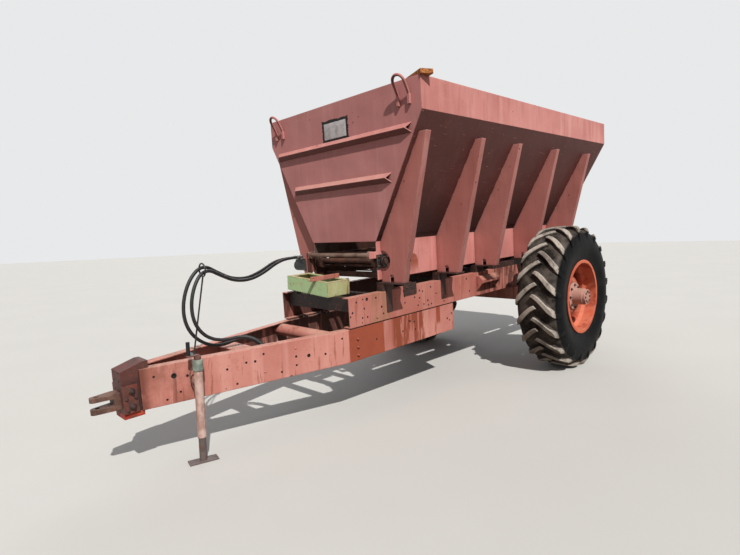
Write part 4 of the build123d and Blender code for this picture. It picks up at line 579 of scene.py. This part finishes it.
def finished_mesh(name, shape, matrix=TO_ROW, smooth_angle=35.0):
    """Mesh from a bmesh drawn in the machine frame, smooth where faces meet at less than an angle."""
    shape.transform(matrix)
    bmesh.ops.recalc_face_normals(shape, faces=shape.faces)
    for face in shape.faces:
        face.smooth = True
    for edge in shape.edges:
        if len(edge.link_faces) == 2 and edge.calc_face_angle(0.0) > radians(smooth_angle):
            edge.smooth = False
    mesh = bpy.data.meshes.new(name)
    shape.to_mesh(mesh)
    shape.free()
    return mesh


def join_rings(shape, rings):
    """Faces between each ring of vertices and the next, where a ring of one vertex is a tip."""
    for first, second in zip(rings, rings[1:]):
        for n in range(max(len(first), len(second))):
            corners = [ring[k % len(ring)] for ring, k in ((first, n), (first, n + 1), (second, n + 1), (second, n))]
            shape.faces.new(dict.fromkeys(corners))


def add_turned(shape, outline, origin, axis, steps=32, spin=0.0):
    """Add a form turned about an axis from (distance along it, radius) points, in the machine frame."""
    toward = Vector(axis).to_track_quat("Z", "Y").to_matrix().to_4x4()
    place = Matrix.Translation(origin) @ toward @ Matrix.Rotation(spin, 4, "Z")
    rings = []
    for distance, radius in outline:
        count = steps if radius else 1
        rings.append([
            shape.verts.new(place @ Vector((radius * cos(tau * n / steps), radius * sin(tau * n / steps), distance)))
            for n in range(count)
        ])
    join_rings(shape, rings)


def smooth_line(name, places, radius, **finer):
    """Curve for a round wire or hose that follows places of the row frame."""
    curve = bpy.data.curves.new(name, "CURVE")
    curve.dimensions = "3D"
    curve.bevel_depth = radius
    curve.use_fill_caps = True
    for key, value in finer.items():
        setattr(curve, key, value)
    spline = curve.splines.new("NURBS")
    spline.points.add(len(places) - 1)
    for point, place in zip(spline.points, places):
        point.co = (*place, 1.0)
    spline.order_u = 3
    spline.use_endpoint_u = True
    return curve


# Fasteners: (height, radius) points for a radius of 1
WASHER = ((0.0, 0.0), (0.0, 1.45), (0.16, 1.45), (0.2, 1.38), (0.2, 0.0))
HEX_HEAD = ((0.2, 0.0), (0.2, 1.0), (0.82, 1.0), (0.92, 0.86), (0.92, 0.0))
ROUND_HEAD = ((0.0, 0.0), (0.0, 1.0), (0.22, 0.94), (0.4, 0.74), (0.5, 0.42), (0.53, 0.0))
THREAD = ((0.9, 0.0), (0.9, 0.5), (1.5, 0.5), (1.6, 0.42), (1.6, 0.0))
HOLE_LIFT = 0.6                  # a hole's dark disc stands this far out of the face


def add_bolt(shape, place, axis, radius, kind="hex"):
    """One bolt head, nut or rivet on a face."""
    parts = {
        "hex": ((WASHER, 14), (HEX_HEAD, 6)),
        "nut": ((WASHER, 14), (HEX_HEAD, 6), (THREAD, 10)),
        "round": ((ROUND_HEAD, 12),),
    }[kind]
    for outline, steps in parts:
        spin = random.uniform(0, tau)
        add_turned(shape, [(radius * h, radius * r) for h, r in outline], place, axis, steps, spin)


def both_sides(rows, y):
    """Places (x, y, z, radius) on both sides from (x, z, radius) rows; y is a number or a function of x."""
    return [(x, side * (y(x) if callable(y) else y), z, size) for side in (1, -1) for x, z, size in rows]


def beam_normal(place):
    """Outward direction of a drawbar beam's web at a place ahead of the bend."""
    side = 1 if place[1] > 0 else -1
    return Vector((sin(BEAM_TURN), side * cos(BEAM_TURN), 0))


def beam_y(x):
    """Y of the left beam's outer face at x, ahead of or behind the bend."""
    return BEAM_HALF - max(0.0, x - BEAM_BEND) * sin(BEAM_TURN) / cos(BEAM_TURN)


def bolt_piece(name, rows, axis_of, slot, body="root", kind="hex"):
    """One piece that holds the bolts of a table of (x, y, z, radius)."""
    shape = bmesh.new()
    for x, y, z, size in rows:
        add_bolt(shape, (x, y, z), axis_of((x, y, z)), size, kind)
    return add_piece(name, finished_mesh(name, shape, smooth_angle=40.0), slot, body)


def hole_piece(name, rows, axis_of):
    """One piece that holds the holes of a table of (x, y, z, radius), as dark dished discs of painted shade."""
    shape = bmesh.new()
    for x, y, z, size in rows:
        outline = ((0, 0), (0, size), (HOLE_LIFT, size - HOLE_LIFT), (HOLE_LIFT * 0.4, size * 0.6), (0.1, 0))
        add_turned(shape, outline, (x, y, z), axis_of((x, y, z)), 14)
    return add_piece(name, finished_mesh(name, shape), "dark_steel", finish=HOLE_SHADE)


def outward(place):
    """Sideways, away from the machine's middle."""
    return (0, 1 if place[1] > 0 else -1, 0)


random.seed(11)
BEAM_HALF = 456.0
BEAM_NOSE_HALF = 92.0
BEAM_BEND = 399.0
BEAM_FRONT = 1950.0
BEAM_TURN = atan2(BEAM_HALF - BEAM_NOSE_HALF, BEAM_FRONT - BEAM_BEND)
RAIL_Y = 466.0
CLIP_Y = 476.0
SILL_Y = 430.0
PLATE_Y = 444.0                  # outer face of the bearings' plates
NOSE_PLATE_Y = 95.0

# Holes through the rails: x, z, radius
RAIL_HOLES = (
    (308, -46, 9), (183, -37, 15), (219, -112, 9), (231, -32, 7), (72, -41, 10), (5, -131, 11), (245, -188, 9),
    (185, -191, 9), (358, -128, 10), (-14, -193, 9), (382, -158, 8), (251, -229, 6), (-523, -60, 10), (-571, -74, 9),
    (-448, -114, 9), (-522, -131, 10), (-495, -198, 9), (-583, -201, 9), (-650, -219, 9), (-701, -214, 9),
    (-306, -85, 9), (-307, -145, 9), (-644, -173, 10), (-697, -49, 10), (-781, -124, 9), (-1319, -44, 11),
    (-1366, -182, 10), (-907, -220, 9), (-2007, -102, 10), (-2259, -70, 9), (-3120, -60, 10), (-3340, -190, 9),
)
# Holes through the beams behind the bend: x, z, radius
BEAM_HOLES = (
    (81, -407, 9), (-268, -407, 9), (-363, -328, 10), (-440, -348, 9), (-382, -334, 8), (-961, -410, 11),
    (-1001, -433, 9), (-448, -422, 9), (-1038, -369, 10),
)
# The same ahead of the bend
FRONT_BEAM_HOLES = (
    (1122, -322, 9), (1189, -365, 10), (1254, -361, 9), (1393, -382, 9), (993, -489, 9), (870, -392, 10),
    (871, -461, 9), (766, -405, 15), (624, -421, 10), (467, -324, 9), (1660, -368, 10), (1745, -350, 19),
    (1712, -470, 8), (1868, -330, 8), (1800, -505, 8),
)
# painted shade: holes are dark discs that stand for the shade inside them
HOLE_SHADE = plain_coat("painted_hole_shade", (12, 9, 8), (30, 22, 19), rough=0.8)
hole_piece("rail_holes", both_sides(RAIL_HOLES, RAIL_Y), outward)
hole_piece("beam_holes", both_sides(BEAM_HOLES, BEAM_HALF), outward)
hole_piece("front_beam_holes", both_sides(FRONT_BEAM_HOLES, beam_y), beam_normal)

# Bolts on the rails, beams, clips and sills: x, z, radius
BEAM_BOLTS = ((307, -359, 11), (307, -429, 11), (309, -498, 11))
FRONT_BEAM_BOLTS = ((1120, -461, 9), (870, -327, 9))
RAIL_BOLTS = ((68, -214, 8), (-1853, -153, 11), (-1540, -70, 11), (-1540, -180, 11))
CLIP_BOLTS = ((-335, -7, 10), (-403, -12, 10), (-294, -24, 8))
bolt_piece("beam_bolts", both_sides(BEAM_BOLTS, BEAM_HALF), outward, "frame_paint")
bolt_piece("front_beam_bolts", both_sides(FRONT_BEAM_BOLTS, beam_y), beam_normal, "frame_paint", kind="round")
bolt_piece("rail_bolts", both_sides(RAIL_BOLTS, RAIL_Y), outward, "frame_paint")
bolt_piece("clip_bolts", both_sides(CLIP_BOLTS, CLIP_Y), outward, "dark_steel")

# Bearing plates: four nuts round each boss
BEARING_NUT = 42.0
BEARING_X = (-60.0, -3950.0)
BEARING_Z = 266.0
bearing_rows = [
    (x + dx * BEARING_NUT, BEARING_Z + dz * BEARING_NUT, 9) for x in BEARING_X for dx in (1, -1) for dz in (1, -1)
]
bolt_piece("bearing_nuts", both_sides(bearing_rows, PLATE_Y), outward, "worn_steel", kind="nut")

# Hitch: two big bolts and small ones through each side plate, and bolts on the nose
NOSE_FRONT = 2065.0
PLATE_BOLTS = ((2012, -392, 17), (2012, -494, 17), (2046, -440, 8), (1986, -440, 8), (2040, -520, 7))
bolt_piece("hitch_bolts", both_sides(PLATE_BOLTS, NOSE_PLATE_Y), outward, "dark_steel", kind="nut")
bolt_piece(
    "nose_rivets", [(NOSE_FRONT, y, z, 8) for y in (-44, 44) for z in (-262, -320, -380)], lambda place: (1, 0, 0),
    "dark_steel", kind="round",
)

# Weld stitches where the ribs meet the slopes
WELD_BEAD = ((0.0, 0.0), (0.0, 1.0), (0.35, 0.8), (0.52, 0.4), (0.56, 0.0))
WELD_RADIUS = 5.0
WELD_STEP = 6.5
STITCH = 52.0
STITCH_PITCH = 150.0
SLOPE_ANGLE = atan2(1014.0, 575.0)
SLOPE_OUT = 5.75                 # slope's outer face beyond its inner one, measured level
RIB_FRONTS = (-60.0, -866.0, -1553.0, -2413.0, -3304.0)
RIB_RISE = (480.0, 1270.0)
RIB_SHEET = 8.0


def add_weld(shape, start, end, axis):
    """Stitches of weld along a line, as rows of overlapping ripples."""
    start, end = Vector(start), Vector(end)
    way = (end - start).normalized()
    place = random.uniform(10, 60)
    while place + STITCH < (end - start).length:
        for n in range(int(STITCH / WELD_STEP)):
            ripple = [(WELD_RADIUS * h, WELD_RADIUS * r * random.uniform(0.92, 1.08)) for h, r in WELD_BEAD]
            add_turned(shape, ripple, start + way * (place + n * WELD_STEP), axis, 8)
        place += STITCH_PITCH


shape = bmesh.new()
for side in (1, -1):
    out = Vector((0, side * sin(SLOPE_ANGLE), -cos(SLOPE_ANGLE)))
    for front in RIB_FRONTS:
        for face, ahead in ((front, 1), (front - RIB_SHEET, -1)):
            ends = [(face, side * (SILL_Y + (z - KNEE_Z) * SLOPE_RUN + SLOPE_OUT), z) for z in RIB_RISE]
            add_weld(shape, *ends, Vector((ahead, 0, 0)) + out)
add_piece("rib_welds", finished_mesh("rib_welds", shape), "hopper_paint")

# Chain: rollers and side bars over the two strands of the conveyor's loop
STRAND_Y = 387.0
LINK_PITCH = 50.0
LINK_HALF = 17.0
ROLLER = 11.5
BAR_SHARE = 0.72                 # a side bar's length, as a share of the pitch
BAR_THICK = 4.0
BAR_DEPTH = 21.5
LINK_RUNS = (326.0, 206.0)
LINK_FRONT, LINK_REAR = -85.0, -3930.0
shape = bmesh.new()
for y in (STRAND_Y, -STRAND_Y):
    for z in LINK_RUNS:
        for n in range(int((LINK_FRONT - LINK_REAR) / LINK_PITCH)):
            x = LINK_FRONT - n * LINK_PITCH
            pin = ((0, 0), (0, ROLLER), (2 * LINK_HALF, ROLLER), (2 * LINK_HALF, 0))
            add_turned(shape, pin, (x, y - LINK_HALF, z), (0, 1, 0), 10)
            for edge in (-LINK_HALF, LINK_HALF - BAR_THICK):
                bar = bmesh.ops.create_cube(shape, size=1.0)["verts"]
                bmesh.ops.scale(shape, vec=(LINK_PITCH * BAR_SHARE, BAR_THICK, BAR_DEPTH), verts=bar)
                bmesh.ops.translate(shape, vec=(x - LINK_PITCH / 2, y + edge + BAR_THICK / 2, z), verts=bar)
add_piece("chain_links", finished_mesh("chain_links", shape), "worn_steel")

# Bolts down the gate's guides
GUIDE_FACE = -3824.6
GUIDE_Y = 389.0
GUIDE_HEIGHTS = [520.0 + 105.0 * n for n in range(6)]
GUIDE_BOLT = 6.5
bolt_piece(
    "guide_bolts", [(GUIDE_FACE, side * GUIDE_Y, z, GUIDE_BOLT) for side in (1, -1) for z in GUIDE_HEIGHTS],
    lambda place: (-1, 0, 0), "dark_steel",
)

# Plate on the front wall, left blank, in its torn dark sealant
PLATE_SPAN = (-173.0, 171.0)
PLATE_HEIGHT = (1374.0, 1562.0)
PLATE_SHEET = 2.0
PLATE_BORDER = 24.0
middle_y, middle_z = sum(PLATE_SPAN) / 2, sum(PLATE_HEIGHT) / 2
half_y, half_z = (PLATE_SPAN[1] - PLATE_SPAN[0]) / 2, (PLATE_HEIGHT[1] - PLATE_HEIGHT[0]) / 2
RAGGED_STEPS = 72


def ring_round(shape, inset, jitter, lift):
    """Ring of vertices round the plate, moved in by an inset and a random share."""
    ring = []
    for n in range(RAGGED_STEPS):
        turn = tau * n / RAGGED_STEPS
        across, up = cos(turn), sin(turn)
        grow = 1 / max(abs(across), abs(up))
        off = inset + random.uniform(0, jitter)
        ring.append(shape.verts.new((
            lift, middle_y + across * grow * (half_y - off), middle_z + up * grow * (half_z - off)
        )))
    return ring


shape = bmesh.new()
join_rings(shape, [
    ring_round(shape, -12, 15, 0.3), ring_round(shape, -6, 13, PLATE_SHEET),
    ring_round(shape, PLATE_BORDER, 6, PLATE_SHEET),
])
add_piece(
    "front_plate_border", finished_mesh("front_plate_border", shape), "dark_steel",
    finish=plain_coat("old_sealant", (24, 20, 19), (52, 42, 40), rough=0.85, scratch=0.3),
)
shape = bmesh.new()
face_rings = [
    ring_round(shape, PLATE_BORDER - 5, 0, PLATE_SHEET - 0.8),
    ring_round(shape, PLATE_BORDER - 2, 4, PLATE_SHEET + 0.6),
]
join_rings(shape, face_rings)
shape.faces.new(face_rings[1])
add_piece(
    "front_plate", finished_mesh("front_plate", shape), "zinc_steel",
    finish=plain_coat("blank_plate", (194, 188, 188), (134, 124, 122), rough=0.5, metallic=0.2, scratch=0.7),
)


# Wire strap on the jack, from its collar down the tube
STRAP_WIRE = 4.0
STRAP_SIDE = -45.0               # degrees from ahead, round the tube
STRAP_POINTS = (
    # distance from the tube's axis, height above the ground, in metres
    (0.034, 0.662), (0.050, 0.648), (0.060, 0.605), (0.052, 0.560), (0.036, 0.530), (0.033, 0.490), (0.032, 0.455),
)
strap_way = Vector((cos(radians(STRAP_SIDE)), sin(radians(STRAP_SIDE)), 0))
strap_places = [
    (JACK_AXIS_X + away * strap_way.x, JACK_AXIS_Y + away * strap_way.y, height) for away, height in STRAP_POINTS
]
add_piece(
    "jack_strap", smooth_line("jack_strap_line", strap_places, STRAP_WIRE * MM), "dark_steel", "jack_tube",
    OWN_FINISH["jack_crank"],
)

# Wheels: nuts round the hub's flange and bolts round its end
WHEEL_PLANE = 1076.0             # the wheels' middle plane
HUB_BOLTS = (
    # how many, their circle's radius, their face beyond the middle plane, size, kind
    (8, 125.0, 116.0, 12, "nut"), (8, 58.0, 255.0, 9, "hex"),
)


def about_hub(radius, turn, y):
    """Point at a radius and an angle round the wheels' axis."""
    return (HUB_X + radius * cos(turn), y, HUB_Z + radius * sin(turn))


for side, body in ((1, "wheel_left"), (-1, "wheel_right")):
    shape = bmesh.new()
    for count, circle, face, size, kind in HUB_BOLTS:
        for n in range(count):
            place = about_hub(circle, tau * n / count, side * (WHEEL_PLANE + face))
            add_bolt(shape, place, (0, side, 0), size, kind)
    add_piece(f"{body}_nuts", finished_mesh(f"{body}_nuts", shape, smooth_angle=40.0), "dark_steel", body)


# Tyres: rounded carcass and curved lugs that wrap over its shoulders, in place of the CAD tyres
CARCASS = (
    # offset from the middle plane, radius
    (0, 744), (60, 743.5), (110, 742), (150, 738), (178, 730), (196, 717), (208, 699), (217, 674), (224, 648),
    (230, 620), (233, 590), (232, 560), (228, 530), (221, 500), (213, 470), (206, 440), (201, 418), (200, 409),
    (200, 381), (164, 381), (172, 430), (190, 510), (197, 590), (190, 650), (168, 692), (110, 708), (0, 710),
)
LUG_STATIONS = (
    # base: offset, radius; top: offset, radius; place round the tread; half width of the top
    (-22, 738, -20, 783.5, 108, 20), (8, 738, 8, 784, 97, 21), (45, 738, 45, 784, 72, 21), (85, 737, 85, 783, 38, 22),
    (125, 735, 125, 780.5, -2, 23), (160, 729, 162, 775, -42, 25), (186, 718, 192, 766, -76, 28),
    (200, 702, 210, 742, -98, 31), (208, 684, 220, 712, -110, 34), (216, 660, 226, 678, -119, 35),
    (223, 636, 229, 646, -124, 33), (226, 622, 228, 624, -126, 30),
)
LUG_FLARE = 9.0                  # each flank's slope
LUG_ROUND = 4.0
LUGS = 20
TREAD_REFERENCE = 760.0          # radius at which places round the tread are measured
TURN_STEPS = 180
LUG_SLANT = 0.72                 # share of a lug's width that runs round the tread, and across it
SHOULDER = 190.0                 # beyond this offset a lug isn't slanted across


def fine_tyre(side, body):
    """Tyre that keeps the CAD tyre's size, with smoother shoulders and lugs."""
    shape = bmesh.new()
    mirrored = [(-offset, radius) for offset, radius in CARCASS[1:-1]][::-1]
    rings = [
        [
            shape.verts.new(about_hub(radius, tau * n / TURN_STEPS, side * (WHEEL_PLANE + offset)))
            for n in range(TURN_STEPS)
        ]
        for offset, radius in (*CARCASS, *mirrored)
    ]
    join_rings(shape, rings + rings[:1])
    for row, start in ((1, 0.0), (-1, 0.5)):
        for number in range(LUGS):
            heading = tau * (number + start) / LUGS
            sections = []
            for base_out, base_r, top_out, top_r, place, half in LUG_STATIONS:
                rows = (
                    (base_out, base_r, -half - LUG_FLARE), (top_out, top_r - LUG_ROUND, -half),
                    (top_out, top_r, LUG_ROUND - half), (top_out, top_r, half - LUG_ROUND),
                    (top_out, top_r - LUG_ROUND, half), (base_out, base_r, half + LUG_FLARE),
                )
                section = []
                for out, radius, across in rows:
                    turn = heading + (place + across * LUG_SLANT) / TREAD_REFERENCE
                    shift = across * LUG_SLANT if out < SHOULDER else 0.0
                    offset = side * WHEEL_PLANE + row * (out + shift)
                    section.append(shape.verts.new(about_hub(radius, turn, offset)))
                sections.append(section)
            join_rings(shape, sections)
            shape.faces.new(sections[0])
            shape.faces.new(sections[-1][::-1])
    name = body.replace("wheel", "tyre") + "_worn"
    piece = add_piece(name, finished_mesh(name, shape, smooth_angle=32.0), "tyre", body)
    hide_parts(body.replace("wheel", "tyre"))


for side, body in ((1, "wheel_left"), (-1, "wheel_right")):
    fine_tyre(side, body)

# Hoses: routes as in the part's source, in the machine frame
HOSE_DIAMETER = 0.026
FITTING_FRONT = 104.0
FITTING_Z = 307.0
HOSE_ROUTES = {
    "hose_outer": (
        (FITTING_FRONT, -632, FITTING_Z), (230, -632, FITTING_Z), (420, -540, 292), (620, -440, 232),
        (835, -330, 196), (1050, -215, 222), (1230, -115, 300), (1345, -52, 358), (1435, -30, 338), (1512, -28, 240),
        (1558, -28, 110), (1560, -30, -25), (1508, -32, -145), (1405, -32, -232), (1285, -22, -262), (1170, -5, -232),
        (1085, 30, -232), (1012, 85, -300), (955, 150, -390), (890, 222, -468), (785, 303, -514), (655, 334, -514),
    ),
    "hose_inner": (
        (FITTING_FRONT, -590, FITTING_Z), (230, -590, FITTING_Z), (420, -496, 280), (620, -396, 218),
        (835, -286, 182), (1050, -172, 204), (1230, -74, 278), (1340, -14, 330), (1428, 12, 308), (1492, 26, 215),
        (1526, 30, 95), (1518, 30, -30), (1462, 30, -130), (1378, 30, -190), (1275, 34, -212), (1175, 52, -204),
        (1095, 98, -222), (1030, 160, -295), (980, 222, -385), (915, 285, -465), (825, 328, -514), (735, 349, -514),
    ),
}

# Quick coupler: distance from the hose's end, radius
COUPLER_OUTLINE = (
    (0, 0), (0, 15), (4, 17), (20, 17), (22, 15.5), (26, 15.5), (28, 18), (48, 18), (50, 16),
    (54, 16), (54, 14), (58, 14), (58, 17), (66, 17), (68, 14), (74, 13), (75, 11), (75, 8), (60, 8), (60, 0),
)


def lay_hose(node):
    """Smooth hose that stands for its CAD tube, with the coupler on its end."""
    route = HOSE_ROUTES[node]
    shape = bmesh.new()
    add_turned(shape, COUPLER_OUTLINE, route[-1], Vector(route[-1]) - Vector(route[-2]))
    name = node.replace("hose", "coupler")
    coupler = add_piece(name, finished_mesh(name, shape), "zinc_steel")
    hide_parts("hose_couplers")
    line = smooth_line(
        node + "_line", [at(*place) for place in route], HOSE_DIAMETER / 2, bevel_resolution=6, resolution_u=10
    )
    hose = add_piece(node + "_smooth", line, "hose_rubber")
    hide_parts(node)


for node in HOSE_ROUTES:
    lay_hose(node)

# Floor, light and camera
FLOOR_HALF = 60.0
floor_shape = bmesh.new()
bmesh.ops.create_grid(floor_shape, x_segments=1, y_segments=1, size=FLOOR_HALF)
floor_mesh = bpy.data.meshes.new("floor")
floor_shape.to_mesh(floor_mesh)
floor_shape.free()
floor = link("floor", floor_mesh)
floor_finish = Finish("floor_finish")
floor_pale = floor_finish.mix(floor_finish.noise(0.8, detail=3), (198, 196, 192), (205, 203, 199))
floor_path = floor_finish.add("ShaderNodeLightPath").outputs
floor_seen = floor_finish.math("MAXIMUM", floor_path["Is Camera Ray"], floor_path["Is Glossy Ray"])
floor_seen = floor_finish.math("MAXIMUM", floor_seen, floor_path["Is Transmission Ray"])
floor_finish.colour = floor_finish.mix(floor_seen, (104, 96, 86), floor_pale)
floor_mesh.materials.append(floor_finish.done(0.9, specular=0.1))

BACKDROP = linear((232, 233, 234))
SKY_STRENGTH = 0.33
world = bpy.data.worlds.new("soft_studio")
bpy.context.scene.world = world
world.use_nodes = True
nodes, links = world.node_tree.nodes, world.node_tree.links
sky = nodes["Background"]
sky.inputs["Color"].default_value = (0.93, 0.96, 1.0, 1.0)
sky.inputs["Strength"].default_value = SKY_STRENGTH
seen = nodes.new("ShaderNodeBackground")
seen.inputs["Color"].default_value = BACKDROP
path = nodes.new("ShaderNodeLightPath").outputs
joined = nodes.new("ShaderNodeMixShader")
shown = path["Is Camera Ray"]
for kind in ("Is Glossy Ray", "Is Transmission Ray"):
    either = nodes.new("ShaderNodeMath")
    either.operation = "MAXIMUM"
    links.new(shown, either.inputs[0])
    links.new(path[kind], either.inputs[1])
    shown = either.outputs[0]
links.new(shown, joined.inputs["Fac"])
links.new(sky.outputs[0], joined.inputs[1])
links.new(seen.outputs[0], joined.inputs[2])
links.new(joined.outputs[0], nodes["World Output"].inputs["Surface"])

# name, direction towards the lamp, strength, spread in degrees, colour
LAMPS = (
    ("key", (0.33, 0.60, 0.73), 3.7, 1.0, (1.0, 0.98, 0.94)),
    ("fill", (-0.65, -0.65, 0.4), 0.9, 40.0, (0.94, 0.97, 1.0)),
)
for name, towards, strength, spread, colour in LAMPS:
    lamp = bpy.data.lights.new(name, "SUN")
    lamp.energy = strength
    lamp.angle = radians(spread)
    lamp.color = colour
    holder = link(name, lamp)
    holder.rotation_mode = "QUATERNION"
    holder.rotation_quaternion = Vector(towards).to_track_quat("Z", "Y")

# Camera, fitted to the photograph in the machine frame
CAMERA_PLACE = (3056.0, 3414.0, 599.0)
CAMERA_YAW = -134.8
CAMERA_PITCH = -6.26
CAMERA_ROLL = -3.46
FOCAL_PIXELS = 488.0
FRAME_PIXELS = 740.0
SENSOR = 36.0
yaw, pitch, roll = radians(CAMERA_YAW), radians(CAMERA_PITCH), radians(CAMERA_ROLL)
ahead = Vector((cos(yaw) * cos(pitch), sin(yaw) * cos(pitch), sin(pitch)))
level_right = Vector((sin(yaw), -cos(yaw), 0))
level_up = level_right.cross(ahead)
right = cos(roll) * level_right + sin(roll) * level_up
up = cos(roll) * level_up - sin(roll) * level_right
turn = Matrix((right, up, -ahead)).transposed()
turn = Matrix.Rotation(radians(NOSE_DOWN), 3, "Y") @ turn
lens = bpy.data.cameras.new("photo_camera")
lens.sensor_width = SENSOR
lens.lens = FOCAL_PIXELS / FRAME_PIXELS * SENSOR
lens.clip_end = 200.0
camera = link("photo_camera", lens)
camera.matrix_world = Matrix.Translation(at(*CAMERA_PLACE)) @ turn.to_4x4()
bpy.context.scene.camera = camera
bpy.context.scene.view_settings.view_transform = "Standard"

bpy.context.view_layer.update()
